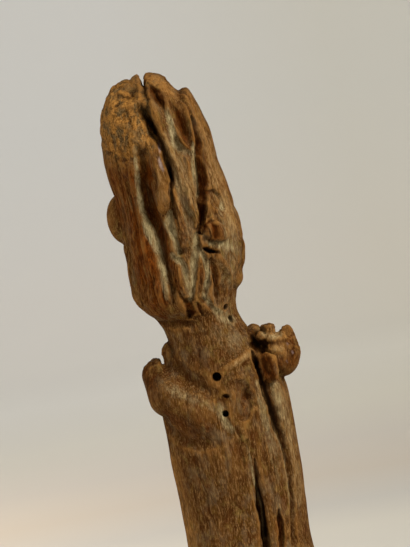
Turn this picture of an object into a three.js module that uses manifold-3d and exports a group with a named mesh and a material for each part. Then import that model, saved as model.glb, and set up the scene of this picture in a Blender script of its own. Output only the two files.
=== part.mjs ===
// A carved wood female figure in one worn log, whole from crown to base, its arms broken off at the shoulders.
// Units are millimetres and +Z is up. The origin is on the underside of the base, on the log's axis.
// The weathered back, with its furrows and long splits, faces -Y. The face and breasts look along +Y.

import * as THREE from "three";
import Module from "manifold-3d";
import { SimplifyModifier } from "three/addons/modifiers/SimplifyModifier.js";
import { mergeVertices } from "three/addons/utils/BufferGeometryUtils.js";

// Driving sizes
const HEIGHT = 430;
const NECK = 300;
const CROTCH = 128;
const CROTCH_ROUNDING = 22;
const LEG_SPREAD = 17.5;
const GIRTH_RADIUS = 30; // of the log, for paths measured round it
const BASE = { height: 19, radius: 36, centreY: 3, wander: 1.2, tilt: 1.5, rounding: 5 };
const BASE_JOIN = 3;
const SUNK = 4; // the base is made this much too deep, then cut flat at the ground
const CROWN_ROUNDING = 6;

// The trunk and head: height, left edge, right edge, back, front
const SECTIONS = [
  [112, -27, 27, -19, 15],
  [130, -30, 30, -23, 19],
  [150, -32, 32, -27, 24],
  [168, -33, 33.5, -30, 27],
  [186, -30.7, 31.6, -29, 28],
  [206, -30.9, 32.4, -26.5, 28.5],
  [226, -31.3, 33.2, -26.5, 27],
  [246, -31.6, 33, -27, 25],
  [264, -31.6, 32.6, -27, 24],
  [279, -27.4, 28, -26, 22],
  [290, -22.6, 21, -24, 19.5],
  [NECK, -23.4, 16, -22.5, 17.5],
  [305, -25.6, 14.6, -22.8, 19.5],
  [308, -27.6, 14.6, -25, 21],
  [311, -31, 14.8, -27.4, 24],
  [319, -35.2, 16.5, -29.5, 29],
  [330, -35.6, 21.8, -30.5, 31],
  [344, -36, 23.8, -30.5, 31.5],
  [360, -35.4, 21.4, -31, 33],
  [380, -37.2, 18.5, -31, 33.5],
  [400, -39.6, 18.8, -30, 31],
  [HEIGHT + 10, -38, 13, -27, 28],
];

// The crown's outline across the head: place across, height above the ground
const CROWN = [
  [-46, 380],
  [-40, 398.5],
  [-36.6, 410.6],
  [-33.5, 417.4],
  [-29.8, 423],
  [-24.4, 427.6],
  [-20.5, 428.6],
  [-18.4, 427.8],
  [-16.4, 429.4],
  [-14, 429.6],
  [-12.8, 424],
  [-11.6, 424.5],
  [-10.6, HEIGHT - 0.6],
  [-9.6, HEIGHT],
  [-6, HEIGHT - 0.6],
  [-2, 427.4],
  [0, 424],
  [4.3, 418.8],
  [6.4, 419.4],
  [9.3, 419],
  [11.4, 414.6],
  [13, 410],
  [18, 394],
  [26, 370],
];
// It falls away to the back and front: by how much, at what reach, from which line, and how sharply
const CROWN_FALL = { drop: 14, reach: 28, line: 1, power: 3 };
// Share of the way out from its middle where furrows start to cut it, and where they cut it to their full depth
const CROWN_CARVED = [0.35, 0.85];

// How a furrow's depth rises from its edges: higher for a rounder bottom and softer edges
const SOFT = 1.4;
const CRISP = 0.5;
const FLAT = 0.2;

// Furrows (depth over 0) and ridges (under 0) that run with the grain of the worn back.
// A point on a path: millimetres across as seen from behind, height, half width, depth.
// The wall is steep on one side where there is a lip: on the left under 0, on the right over 0.
const BACK_RUNS = [
  // the split behind the overhanging lip of the left lobe, and the pocket at its top
  { lip: -0.5, power: SOFT, path: [
    [-13.8, 416.4, 2.4, 1.4], [-14.2, 411.6, 4.2, 7], [-11.8, 404, 4, 8.5], [-9.4, 398, 2.6, 5],
    [-7.6, 391.5, 2.4, 3], [-6.8, 385, 2.2, 3.4], [-6.5, 379, 2, 6.5], [-6.9, 373, 1.6, 1.6],
  ] },
  // the step behind the top of the left lobe
  { lip: -0.6, power: SOFT, path: [
    [-31, 416.4, 2.4, 1.4], [-26.4, 419.8, 3.4, 3], [-20, 421.2, 3.6, 2.6], [-16, 421.4, 2, 0.8],
  ] },
  // the broad furrow inside the left lobe, the valley below it, and the ridge that ends over them
  { lip: -0.3, power: SOFT, path: [
    [-20, 396, 2.4, 1.6], [-18.6, 390, 4.8, 4.6], [-18.4, 382, 5.6, 6], [-19.2, 373, 5.8, 6.6],
    [-19.6, 364, 5.8, 6.6], [-18.8, 357.5, 5, 6.2], [-17, 350, 4.6, 5.6], [-16.4, 342, 4.2, 5],
    [-15.6, 332, 4.2, 4.6], [-14.8, 323, 3.6, 3.4], [-15.2, 316, 2.6, 1.6],
  ] },
  { power: CRISP, path: [
    [-13, 396, 2.6, -1], [-11.6, 387, 3, -2.2], [-11.2, 377, 3.4, -3], [-11.4, 369, 3.8, -3.4],
    [-12.6, 363, 3.4, -3],
  ] },
  { power: SOFT, path: [
    [-10.4, 360, 2.4, 1.6], [-11.4, 354, 2.6, 2.6], [-10.2, 347, 2.4, 2.4], [-9, 341, 2.4, 2.4],
  ] },
  { power: SOFT, path: [
    [-25.5, 400, 4, -1], [-26, 372, 4, -1.6], [-25.6, 345, 4, -1.8], [-25.4, 322, 4, -1.2],
  ] },
  // the hollow under the cap of the crown, the ridge beside the split, the channel and the oval pocket
  { lip: 0.3, power: SOFT, path: [
    [-8.8, 422.8, 2.4, 2.8], [-6.2, 418.4, 4.2, 6], [-4.8, 413.4, 3.4, 4.4], [-4, 408.6, 2.2, 1.6],
  ] },
  { power: SOFT, path: [
    [-10.8, 419, 1.8, -0.8], [-9.4, 410, 2.6, -1.6], [-7, 401, 2.8, -1.8], [-4.4, 392.5, 2.8, -1.8],
    [-2.8, 385, 2.6, -1.8], [-1.4, 378, 2.4, -1.6], [-1, 370, 2.2, -0.8],
  ] },
  { power: SOFT, path: [
    [-2.2, 412, 2, 1], [-2, 406, 2.8, 2.4], [-1.8, 399, 2.8, 2.8], [-0.4, 392, 2.6, 2.6],
    [3, 388, 2.4, 2], [5.4, 386, 1.8, 1],
  ] },
  { lip: 0.3, power: SOFT, path: [
    [1.4, 413, 2, 1.4], [2.7, 405, 3.4, 3.8], [3.6, 398, 3.4, 4.4], [4.2, 391.6, 2.2, 2],
  ] },
  { power: SOFT, path: [
    [4.4, 416, 2, -0.8], [6.3, 408, 1.9, -1.6], [7, 400, 1.6, -1.6], [6.4, 391, 1.4, -1.2],
  ] },
  // the middle ridges of the head and the groove left of them
  { power: SOFT, path: [[-7.6, 374, 1.3, 1.6], [-7.8, 366, 1.5, 2.2], [-8, 358, 1.6, 2]] },
  { power: SOFT, path: [
    [-5.6, 371, 2, -0.8], [-4.9, 361, 2.4, -1.6], [-4.9, 350, 2.4, -1.8], [-5.6, 343, 2.2, -1.8],
    [-6, 340.6, 1.6, -1],
  ] },
  { power: SOFT, path: [
    [2.4, 383, 2, -0.8], [2, 374, 2.6, -2], [1.6, 366, 2.8, -2.2], [2.2, 359, 2.8, -2.6],
    [1.2, 352.6, 2.2, -2.2],
  ] },
  // the long dark furrow on the right of the head
  { lip: 0.5, power: SOFT, path: [
    [8.6, 407, 2, 2], [9.6, 399.5, 3, 5], [9.4, 391, 4, 6.8], [9, 382, 4.2, 7], [8.2, 373, 4, 6.6],
    [7, 364, 3.6, 6], [4.8, 355.5, 3, 5.6], [2.4, 348, 2.4, 4],
  ] },
  { power: SOFT, path: [[15.4, 402, 2.2, 1.8], [16.8, 395, 2.6, 2.6], [17.2, 388, 2.2, 1.4]] },
  // the step and hollow above the broken block, the block, and the hole under it
  { lip: 0.4, power: SOFT, path: [
    [9.8, 366, 2.4, 1.4], [13.6, 364.6, 3.6, 2.6], [16.8, 361.6, 3, 2.8], [17.4, 358, 2.2, 1.6],
  ] },
  { power: SOFT, path: [[13.2, 361, 4.2, 2.4], [16.2, 358, 3.2, 3], [14.6, 354.6, 2.4, 1.6]] },
  { power: FLAT, path: [[6.4, 348.6, 3.6, -3.4], [9.6, 347.6, 5.2, -3.8], [12.6, 345, 4, -3.2]] },
  { power: FLAT, path: [[9.4, 351.4, 1.6, -1.2], [10.2, 353.2, 0.9, -1.2]] },
  { power: CRISP, path: [
    [3.2, 339.2, 0.6, 2], [5, 338.5, 1.2, 7], [7.4, 337.2, 1.1, 6], [10.4, 335.8, 0.6, 2],
  ] },
  // the branching furrows above the nape
  { power: SOFT, path: [
    [0.4, 347, 2, 2.2], [-1, 338, 2.8, 2.8], [-2.8, 333, 2.7, 2.6], [-4.2, 327, 2.6, 2.6],
    [-6, 320, 2.5, 2.2], [-7.4, 315.6, 2.2, 1.6],
  ] },
  { power: SOFT, path: [
    [0.8, 340.4, 2, 1.6], [3.4, 333, 2.4, 2.4], [3.8, 327, 2.4, 2.4], [2, 321, 2.3, 2.2],
    [-0.4, 315.6, 2.1, 1.7],
  ] },
  { power: SOFT, path: [[-0.4, 315.6, 2, 1.2], [2, 311, 2.3, 1.4], [4.6, 306.4, 2.4, 0.8]] },
  { power: SOFT, path: [[0, 332, 1.6, 0.8], [0.3, 326.5, 1.8, 1.2], [-0.8, 320.6, 1.6, 0.8]] },
  { power: SOFT, path: [
    [-13, 339.4, 2, 1.2], [-10.4, 337.4, 2.6, 1.8], [-8, 333, 2.5, 1.9], [-7.4, 326.6, 2.3, 1.9],
    [-8.2, 319.6, 2.2, 1.4],
  ] },
  { power: SOFT, path: [[-11, 334, 1.8, -1], [-10, 328, 2, -2], [-10.2, 320, 1.8, -1.2]] },
  { power: SOFT, path: [
    [6.2, 332, 2.4, 2], [6.9, 324, 3, 3.4], [6.4, 316, 2.6, 3], [6, 310.5, 1.8, 1.6],
  ] },
  { power: SOFT, path: [
    [10.4, 333, 2.4, -1.6], [12.8, 328.5, 2.6, -2], [13.4, 322, 2.6, -2], [12.6, 315, 2.2, -1],
  ] },
  { power: CRISP, path: [[-9, 314, 2.2, 3], [-8.4, 310, 2.4, 4], [-9, 307, 1.6, 2]] },
  { power: SOFT, path: [[-3.4, 312.4, 2, 2], [-3.2, 307.6, 2, 2]] },
  // the undercut below the rim of the head
  { lip: 0.6, power: SOFT, path: [
    [-25.4, 305.4, 1.6, 1], [-19, 303.8, 2.6, 2.4], [-12, 304, 2.4, 2.4], [-7, 302, 2, 1.2],
  ] },
  // the gap between the trunk and the outer strip of wood on the right, which narrows downwards
  { power: CRISP, path: [
    [18.6, 283, 1.1, 8], [19.4, 276, 1.2, 11], [20.4, 269, 1.4, 13], [21.8, 261, 1.8, 14],
    [23.2, 252, 2.2, 14], [23.6, 246, 2, 12], [24.8, 240, 1.3, 9], [25.8, 233, 0.9, 6],
    [26, 222, 0.8, 4], [24.6, 205, 0.7, 3.4], [22.4, 190, 0.6, 2.5],
  ] },
  { lip: -0.35, power: SOFT, path: [
    [22.4, 278, 2.6, 3], [24, 262, 3.4, 4], [25, 246, 3.4, 4.4], [27, 236, 3, 5], [27.6, 228, 3, 5.4],
    [26.8, 214, 2.8, 5], [25, 200, 2.6, 4.6], [22.6, 186, 2.4, 3.6], [21, 168, 2, 1.4],
  ] },
  // the slot beside it, and the step along the middle split
  { power: CRISP, path: [
    [17.8, 204, 1, 2], [17.3, 199.5, 1.7, 5], [15.8, 189, 1.8, 5], [14.4, 177, 1.4, 3],
  ] },
  { lip: -0.6, power: SOFT, path: [
    [7.4, 241, 2, 0.6], [8.4, 230, 2.6, 1.2], [9, 220, 3.2, 1.8], [10.4, 211, 3.4, 2.2],
    [9.8, 197, 3.2, 2], [8.8, 176, 2.8, 1],
  ] },
  // the shoulders: the light ridge, the torn patch and the hollows either side of the left shoulder's ridge
  { power: SOFT, path: [[2, 277.5, 3, -1], [9, 281, 3.2, -1.8], [16, 284, 3, -1.8]] },
  { power: SOFT, path: [[8.4, 270, 4, 2], [11, 262.6, 5, 3.6], [8.6, 254.6, 4, 2.2]] },
  { power: SOFT, path: [[-20, 284, 5, 2.4], [-14, 276, 5.4, 2.8], [-6, 268, 4.6, 1.8]] },
  { power: SOFT, path: [
    [-31, 254, 3, 1], [-24, 247.6, 4.4, 1.8], [-16, 243, 4.4, 1.6], [-7, 243, 4, 0.8],
  ] },
  { power: SOFT, path: [[-1, 263, 4.4, 1.6], [-1.4, 255, 4, 1.6], [0, 247, 3.6, 0.8]] },
  // the cleft of the buttocks
  { power: SOFT, path: [[0, 182, 3, 2], [0, 168, 3.6, 5], [0, 146, 3.4, 4]] },
];

// The same round the rest of the log, shallower: a point is degrees round from the middle of the back,
// height, half width, depth
const ROUND_RUNS = [
  // brow, nose, eye hollows and mouth
  { power: SOFT, path: [[155, 389, 5, -1.6], [180, 392, 5, -2], [205, 389, 5, -1.6]] },
  { power: SOFT, path: [[180, 388, 4.4, -3], [180, 372, 5, -5], [180, 362, 6, -6]] },
  { power: SOFT, path: [[154, 379, 5.5, 3], [163, 378, 5, 2.8]] },
  { power: SOFT, path: [[206, 379, 5.5, 3], [197, 378, 5, 2.8]] },
  { power: SOFT, path: [[167, 346, 3.4, -1.8], [180, 346, 4, -2.4], [193, 346, 3.4, -1.8]] },
  { power: SOFT, path: [[171, 346, 1.6, 2.4], [189, 346, 1.6, 2.4]] },
  // navel and the groove down the belly
  { power: SOFT, path: [[180, 199, 5, -3], [180, 196, 5, -3]] },
  { power: SOFT, path: [[180, 262, 5, 1.6], [180, 218, 5, 1]] },
  // furrows of the sides and front
  { power: SOFT, path: [[236, 412, 2.6, 2], [240, 380, 3, 3], [236, 352, 2.6, 2]] },
  { power: SOFT, path: [[128, 410, 2.6, 2.4], [124, 385, 3, 4], [128, 350, 2.8, 3]] },
  { power: SOFT, path: [[98, 396, 2.6, 1.6], [102, 372, 3.2, 2.4], [98, 345, 2.6, 1.8]] },
  { power: SOFT, path: [[258, 340, 2.6, 2], [262, 322, 2.6, 2]] },
  { power: SOFT, path: [[150, 244, 1.8, 2], [146, 216, 2.8, 5], [150, 176, 2, 3]] },
  { power: SOFT, path: [[250, 236, 1.8, 2], [254, 206, 2.6, 4], [250, 170, 2, 2.4]] },
];

// Swellings joined softly to the log: centre, radii and how far the join is rounded
const SWELLINGS = [
  { at: [-33.6, 6, 359.5], radii: [8.8, 7.5, 13], soften: 1.6 }, // the ear that is left
  { at: [15.2, -4, 322.5], radii: [5.4, 7, 6.5], soften: 1.6 }, // the end of the other ear
  { at: [-7, 27, 324], radii: [15, 9, 9], soften: 9 }, // chin
  { at: [-22.4, -5, 287.8], radii: [4.6, 7, 7.4], soften: 1 }, // between neck and left arm
  { at: [21, 3, 286.6], radii: [5.6, 8, 9.5], soften: 2 }, // between neck and right arm
  { at: [32.2, -5, 279.2], radii: [9.8, 11.5, 11.4], soften: 1.5 }, // stump of the right arm
  { at: [13.5, 24, 243], radii: [9.5, 10, 12], soften: 6 }, // breasts
  { at: [-13.5, 24, 244], radii: [9.5, 9, 12], soften: 6 },
  { at: [15, -16, 164], radii: [15.5, 17, 18], soften: 10 }, // buttocks
  { at: [-15, -16, 164], radii: [15.5, 17, 18], soften: 10 },
];

// Round limbs that taper from one end to the other: two ends, two radii and the rounding of the join
const LIMBS = [
  { from: [-30.1, -5, 279.4], to: [-26.8, -7, 267.6], radii: [8.4, 10], soften: 2 }, // stump of the left arm
  { from: [-26, -13, 270], to: [-11, -18.6, 257.6], radii: [8.8, 8.2], soften: 6 }, // ridge of the left shoulder
  { from: [-12.2, -2, 420.6], to: [-12.6, -14, 420.6], radii: [2.4, 2.4], soften: 1 }, // below the notch of the crown
  { from: [-12.6, -14, 420.6], to: [-13, -22.6, 415.4], radii: [2.4, 2.6], soften: 1 },
  { from: [28.2, -7, 284], to: [28, -6, 291.4], radii: [5.4, 4.2], soften: 2.5 }, // block on the right stump
  { from: [36.4, -6, 282], to: [37.4, -5, 290.2], radii: [5.4, 2.8], soften: 2 }, // hook on the right stump
  { from: [23.4, -12, 290.8], to: [30.6, -13.4, 287.6], radii: [1.6, 3], soften: 0.8 }, // ledge across its broken face
  { from: [29, -14.2, 283.6], to: [33, -13, 283], radii: [3, 2.8], soften: 1 }, // lump under the ledge
  { from: [22.4, -17.6, 279.8], to: [23.6, -17.4, 271], radii: [2.6, 2.4], soften: 0.8 }, // splinter below them
  { from: [25, -18, 279.8], to: [25.4, -17.4, 269.4], radii: [2.8, 2.8], soften: 0.8 },
  { from: [27.2, -17.6, 278.6], to: [26.8, -17, 270], radii: [2.6, 2.6], soften: 0.8 },
];

// Hollows cut into the log with round ends: two ends, two radii and the rounding of their edge
const HOLLOWS = [
  { from: [19.4, -27, 298], to: [20, -13, 286], radii: [2.8, 3], soften: 1 }, // beside the neck
  { from: [22.6, -24, 285.8], to: [23.4, -12, 285], radii: [3.2, 3], soften: 1 }, // over the splinter
  { from: [18.8, -26, 284], to: [19, -15, 276], radii: [1.3, 1.3], soften: 0.8 }, // top of the gap
  { from: [33.4, -18, 291.4], to: [33.3, 4, 293], radii: [1.5, 1.7], soften: 1.2 }, // saddle of the right stump
  { from: [24, -23, 286.4], to: [27.6, -17, 286], radii: [2.4, 1.8], soften: 0.6 }, // under the ledge
  { from: [28, -18.4, 286], to: [37, -16, 286.4], radii: [1.3, 1.1], soften: 0.6 },
  { from: [36.8, -20, 288], to: [37.4, -16, 279], radii: [2.6, 2.2], soften: 0.8 }, // broken right side
  { from: [-27.9, -18, 289.4], to: [-26.9, 4, 287], radii: [1, 1], soften: 0.6 }, // notch by the stump of the left arm
];

const LEG = [
  { from: [LEG_SPREAD - 1.5, -6, 150], to: [LEG_SPREAD, 2, 94], radii: [17, 13], soften: 9 },
  { from: [LEG_SPREAD, 2, 94], to: [LEG_SPREAD, -3, 62], radii: [13, 12.4], soften: 8 },
  { from: [LEG_SPREAD, -3, 62], to: [LEG_SPREAD, -1, 27], radii: [12.4, 9.6], soften: 8 },
  { from: [LEG_SPREAD, -4, 24], to: [LEG_SPREAD + 0.5, 21, 22], radii: [9.4, 6.6], soften: 5 },
];

// Round holes bored by insects: degrees, height, radius
const BORINGS = [
  [-3.5, 275.6, 2.3],
  [-1.5, 256.6, 1.7],
  [48, 308.5, 1.5],
  [50, 301.8, 1.9],
  [120, 232, 1.8],
  [214, 272, 1.7],
  [200, 180, 2],
];
const BORING_DEPTH = 9;

// Drying splits: degrees, height of the middle, length, width
const SPLITS = [
  [15.8, 200, 66, 3.4],
  [196, 200, 54, 2.4],
  [100, 188, 62, 2.6],
];
const SPLIT_DEPTH = 9;

// Spacing of the surface's grid across the grain and along it
const ACROSS = 1.6;
const ALONG = 2.5;
const HALVINGS = 5;
const VERTICES = 4550; // kept once flat stretches are thinned
const PLUG = 0.8;
const SLOPE_STEP = 1.5;
const ROUND_SIDES = 10;
const CLEAR = 20; // how far cutters and the grid reach past the wood

const GIRTH_PER_DEGREE = (Math.PI * GIRTH_RADIUS) / 180;
const clamp = THREE.MathUtils.clamp;

// Value of a table's column at height z, on a smooth curve through its rows
function curveAt(rows, column, z) {
  const last = rows.length - 1;
  let i = 0;
  while (i < last - 1 && z > rows[i + 1][0]) i++;
  const [a, b] = [rows[i], rows[i + 1]];
  const before = rows[Math.max(i - 1, 0)];
  const after = rows[Math.min(i + 2, last)];
  const span = b[0] - a[0];
  const t = clamp((z - a[0]) / span, 0, 1);
  const slopeA = ((b[column] - before[column]) / (b[0] - before[0])) * span;
  const slopeB = ((after[column] - a[column]) / (after[0] - a[0])) * span;
  const t2 = t * t;
  const t3 = t2 * t;
  return (
    (2 * t3 - 3 * t2 + 1) * a[column] +
    (t3 - 2 * t2 + t) * slopeA +
    (3 * t2 - 2 * t3) * b[column] +
    (t3 - t2) * slopeB
  );
}

function sectionAt(z) {
  const [left, right, back, front] = [1, 2, 3, 4].map((column) => curveAt(SECTIONS, column, z));
  return {
    x: (left + right) / 2,
    y: (back + front) / 2,
    halfWidth: (right - left) / 2,
    halfDepth: (front - back) / 2,
  };
}

// Smooth union of two signed distances
function join(a, b, soften) {
  const h = Math.max(soften - Math.abs(a - b), 0) / soften;
  return Math.min(a, b) - (h * h * soften) / 4;
}

function ellipsoid(p, { at, radii }) {
  const u = new THREE.Vector3((p.x - at[0]) / radii[0], (p.y - at[1]) / radii[1], (p.z - at[2]) / radii[2]);
  const k0 = u.length();
  const k1 = Math.hypot(u.x / radii[0], u.y / radii[1], u.z / radii[2]);
  return k1 < 1e-9 ? -Math.min(...radii) : (k0 * (k0 - 1)) / k1;
}

function taperedLimb(p, { from, to, radii }) {
  const axis = [to[0] - from[0], to[1] - from[1], to[2] - from[2]];
  const off = [p.x - from[0], p.y - from[1], p.z - from[2]];
  const length2 = axis[0] ** 2 + axis[1] ** 2 + axis[2] ** 2;
  const t = clamp((off[0] * axis[0] + off[1] * axis[1] + off[2] * axis[2]) / length2, 0, 1);
  const gap = Math.hypot(off[0] - axis[0] * t, off[1] - axis[1] * t, off[2] - axis[2] * t);
  return gap - (radii[0] + (radii[1] - radii[0]) * t);
}

// Depth that one furrow or ridge takes off at a point. Girth is millimetres round from the middle of the back.
function runDepth({ path, power, lip = 0 }, girth, z) {
  let nearest = 1;
  let depth = 0;
  for (let i = 0; i + 1 < path.length; i++) {
    const [a, b] = [path[i], path[i + 1]];
    const [ux, uz] = [b[0] - a[0], b[1] - a[1]];
    const [px, pz] = [girth - a[0], z - a[1]];
    const t = clamp((px * ux + pz * uz) / (ux * ux + uz * uz), 0, 1);
    const gap = Math.hypot(px - ux * t, pz - uz * t);
    const share = gap / (a[2] + (b[2] - a[2]) * t);
    if (share >= nearest) continue;
    nearest = share;
    const side = (pz * ux - px * uz) / Math.hypot(ux, uz) / Math.max(gap, 1e-6);
    const deepest = lip * Math.abs(side);
    const place = side < 0 ? -share : share;
    const wall = place < deepest ? (deepest - place) / (1 + deepest) : (place - deepest) / (1 - deepest);
    depth = (a[3] + (b[3] - a[3]) * t) * (1 - wall ** 2) ** power;
  }
  return depth;
}

// The paths with their places across turned into millimetres of girth
function onGirth(runs, degreesAt) {
  return runs.map(({ path, ...run }) => ({
    ...run,
    path: path.map(([place, z, ...rest]) => [degreesAt(place, z) * GIRTH_PER_DEGREE, z, ...rest]),
  }));
}

function degreesBehind(x, z) {
  const s = sectionAt(z);
  return THREE.MathUtils.radToDeg(Math.asin(clamp((x - s.x) / s.halfWidth, -1, 1)));
}

const backRuns = onGirth(BACK_RUNS, degreesBehind);
const roundRuns = onGirth(ROUND_RUNS, (degrees) => degrees);

const ease = (t) => t * t * (3 - 2 * t);

// Signed distance to the log without its crown, and the depth carved off the crown
function trunk(p) {
  const s = sectionAt(p.z);
  const u = (p.x - s.x) / s.halfWidth;
  const v = (p.y - s.y) / s.halfDepth;
  const round = Math.max(Math.hypot(u, v), 1e-6);
  const out = Math.hypot(p.x - s.x, p.y - s.y);
  const surface = out / round;
  const below = sectionAt(p.z - SLOPE_STEP);
  const above = sectionAt(p.z + SLOPE_STEP);
  const widening = Math.abs(u) * (above.halfWidth - below.halfWidth);
  const deepening = Math.abs(v) * (above.halfDepth - below.halfDepth);
  const slope = (widening + deepening) / (2 * SLOPE_STEP * round);
  const degrees = THREE.MathUtils.radToDeg(Math.atan2(u, -v));
  const back = degrees * GIRTH_PER_DEGREE;
  const front = (degrees < 0 ? degrees + 360 : degrees) * GIRTH_PER_DEGREE;
  let carved = 0;
  for (const one of backRuns) carved += runDepth(one, back, p.z);
  for (const one of roundRuns) carved += runDepth(one, front, p.z);
  const [start, full] = CROWN_CARVED;
  return {
    log: (out - surface + carved) / Math.hypot(1, slope),
    offCrown: carved * ease(clamp((round - start) / (full - start), 0, 1)),
  };
}

function crownTop(p, carved) {
  const { drop, reach, line, power } = CROWN_FALL;
  const away = Math.abs(p.y - line);
  const fall = drop * (away / reach) ** power;
  const x = clamp(p.x, CROWN[0][0], CROWN.at(-1)[0]);
  const rise = (curveAt(CROWN, 1, x + SLOPE_STEP) - curveAt(CROWN, 1, x - SLOPE_STEP)) / (2 * SLOPE_STEP);
  return (p.z - curveAt(CROWN, 1, x) + fall + carved) / Math.hypot(1, rise, (power * fall) / Math.max(away, 1));
}

function base(p) {
  const { height, radius, centreY, wander, tilt, rounding } = BASE;
  const lobes = wander * Math.sin(3 * Math.atan2(p.y, p.x));
  const side = Math.hypot(p.x, p.y - centreY) - radius - lobes;
  const top = p.z - height + tilt * Math.sin(p.x / (radius / 2));
  return Math.max(-join(-side, -top, rounding), -SUNK - p.z);
}

// Signed distance to the whole figure, under 0 inside the wood
function figureField(p) {
  const { log, offCrown } = trunk(p);
  let d = -join(-log, p.z - CROTCH, CROTCH_ROUNDING);
  d = -join(-d, -crownTop(p, offCrown), CROWN_ROUNDING);
  for (const swelling of SWELLINGS) d = join(d, ellipsoid(p, swelling), swelling.soften);
  for (const limb of LIMBS) d = join(d, taperedLimb(p, limb), limb.soften);
  for (const hollow of HOLLOWS) d = -join(-d, taperedLimb(p, hollow), hollow.soften);
  const mirrored = { x: Math.abs(p.x), y: p.y, z: p.z };
  for (const limb of LEG) d = join(d, taperedLimb(mirrored, limb), limb.soften);
  return join(d, base(p), BASE_JOIN);
}

// Grid levels from a to b about one step apart
function levels(from, to, step) {
  const count = Math.round((to - from) / step);
  return Array.from({ length: count + 1 }, (_, i) => from + ((to - from) * i) / count);
}

// The closed surface where the field is 0. Each grid cell is six tetrahedra round one diagonal, and each
// tetrahedron that the surface crosses gives one or two triangles, so the surface never touches itself.
function surfaceOf(field, xs, ys, zs) {
  const [nx, ny, nz] = [xs.length, ys.length, zs.length];
  const point = (n) => new THREE.Vector3(xs[n % nx], ys[Math.floor(n / nx) % ny], zs[Math.floor(n / (nx * ny))]);
  const value = Float32Array.from({ length: nx * ny * nz }, (_, n) => field(point(n)));
  const [stepX, stepY, stepZ] = [1, nx, nx * ny];
  const walks = [
    [stepX, stepY], [stepY, stepZ], [stepZ, stepX],
    [stepY, stepX], [stepZ, stepY], [stepX, stepZ],
  ];
  const positions = [];
  const vertexOf = new Map();
  const triangles = [];
  // Where the surface cuts the line between two grid points, found by halving
  const crossing = (a, b) => {
    const key = Math.min(a, b) * value.length + Math.max(a, b);
    if (!vertexOf.has(key)) {
      let [within, beyond] = value[a] < 0 ? [point(a), point(b)] : [point(b), point(a)];
      for (let halving = 0; halving < HALVINGS; halving++) {
        const middle = within.clone().lerp(beyond, 0.5);
        if (field(middle) < 0) within = middle;
        else beyond = middle;
      }
      vertexOf.set(key, positions.length);
      positions.push(within.lerp(beyond, 0.5));
    }
    return vertexOf.get(key);
  };
  // One facet, turned to face out of the wood
  const addFacet = (ring, corners) => {
    const [p, q, r] = ring.map((n) => positions[n]);
    const normal = q.clone().sub(p).cross(r.clone().sub(p));
    const outward = new THREE.Vector3();
    for (const n of corners) outward.addScaledVector(point(n), value[n] < 0 ? -1 : 1);
    const inside = corners.filter((n) => value[n] < 0).length;
    outward.addScaledVector(p, 2 * inside - corners.length);
    if (normal.dot(outward) < 0) ring.reverse();
    for (let n = 2; n < ring.length; n++) triangles.push(ring[0], ring[n - 1], ring[n]);
  };
  const addTetrahedron = (corners) => {
    const inside = corners.filter((n) => value[n] < 0);
    const outside = corners.filter((n) => value[n] >= 0);
    if (!inside.length || !outside.length) return;
    const ring = inside.flatMap((a, i) => {
      const row = outside.map((b) => crossing(a, b));
      return i % 2 ? row.reverse() : row;
    });
    addFacet(ring, corners);
  };
  for (let k = 0; k + 1 < nz; k++)
    for (let j = 0; j + 1 < ny; j++)
      for (let i = 0; i + 1 < nx; i++) {
        const low = (k * ny + j) * nx + i;
        const high = low + stepX + stepY + stepZ;
        for (const [first, second] of walks) addTetrahedron([low, low + first, low + first + second, high]);
      }
  return new THREE.BufferGeometry().setFromPoints(positions).setIndex(triangles);
}

// How often each key comes up
function tally(keys) {
  const counts = new Map();
  for (const key of keys) counts.set(key, (counts.get(key) ?? 0) + 1);
  return counts;
}

// Thins a surface to about so many vertices and drops the flat double flaps that this leaves. Also gives its
// pinches: the ends of each edge where two sheets of the surface touch.
async function thin(fine, vertices) {
  const surface = await new SimplifyModifier().modify(fine, fine.attributes.position.count - vertices);
  const keyOf = (corners) => [...corners].sort((a, b) => a - b).join();
  const corners = [...surface.index.array];
  const all = Array.from({ length: corners.length / 3 }, (_, n) => corners.slice(3 * n, 3 * n + 3));
  const copies = tally(all.map(keyOf));
  const kept = all.filter((triangle) => copies.get(keyOf(triangle)) === 1);
  const uses = tally(kept.flatMap(([a, b, c]) => [keyOf([a, b]), keyOf([b, c]), keyOf([c, a])]));
  const end = (n) => new THREE.Vector3().fromBufferAttribute(surface.attributes.position, n);
  const pinches = [...uses].filter(([, count]) => count > 2).map(([edge]) => edge.split(",").map(end));
  return { surface: surface.setIndex(kept.flat()), pinches };
}

// A small block of wood that fills a pinch
function plug([from, to]) {
  const block = new THREE.BoxGeometry(PLUG, PLUG, from.distanceTo(to) + PLUG);
  block.applyMatrix4(new THREE.Matrix4().lookAt(from, to, new THREE.Vector3(0.8, 0.6, 0)));
  return block.translate(...from.clone().lerp(to, 0.5));
}

const wasm = await Module();
wasm.setup();

function toSolid(geometry) {
  const bare = new THREE.BufferGeometry().setAttribute("position", geometry.getAttribute("position"));
  bare.setIndex(geometry.index);
  const merged = mergeVertices(bare, 1e-4);
  return new wasm.Manifold(
    new wasm.Mesh({
      numProp: 3,
      vertProperties: merged.attributes.position.array,
      triVerts: new Uint32Array(merged.index.array),
    }),
  );
}

function toGeometry(solid) {
  const mesh = solid.getMesh();
  const geometry = new THREE.BufferGeometry();
  geometry.setAttribute("position", new THREE.BufferAttribute(mesh.vertProperties, 3));
  geometry.setIndex(new THREE.BufferAttribute(mesh.triVerts, 1));
  return geometry;
}

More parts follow.
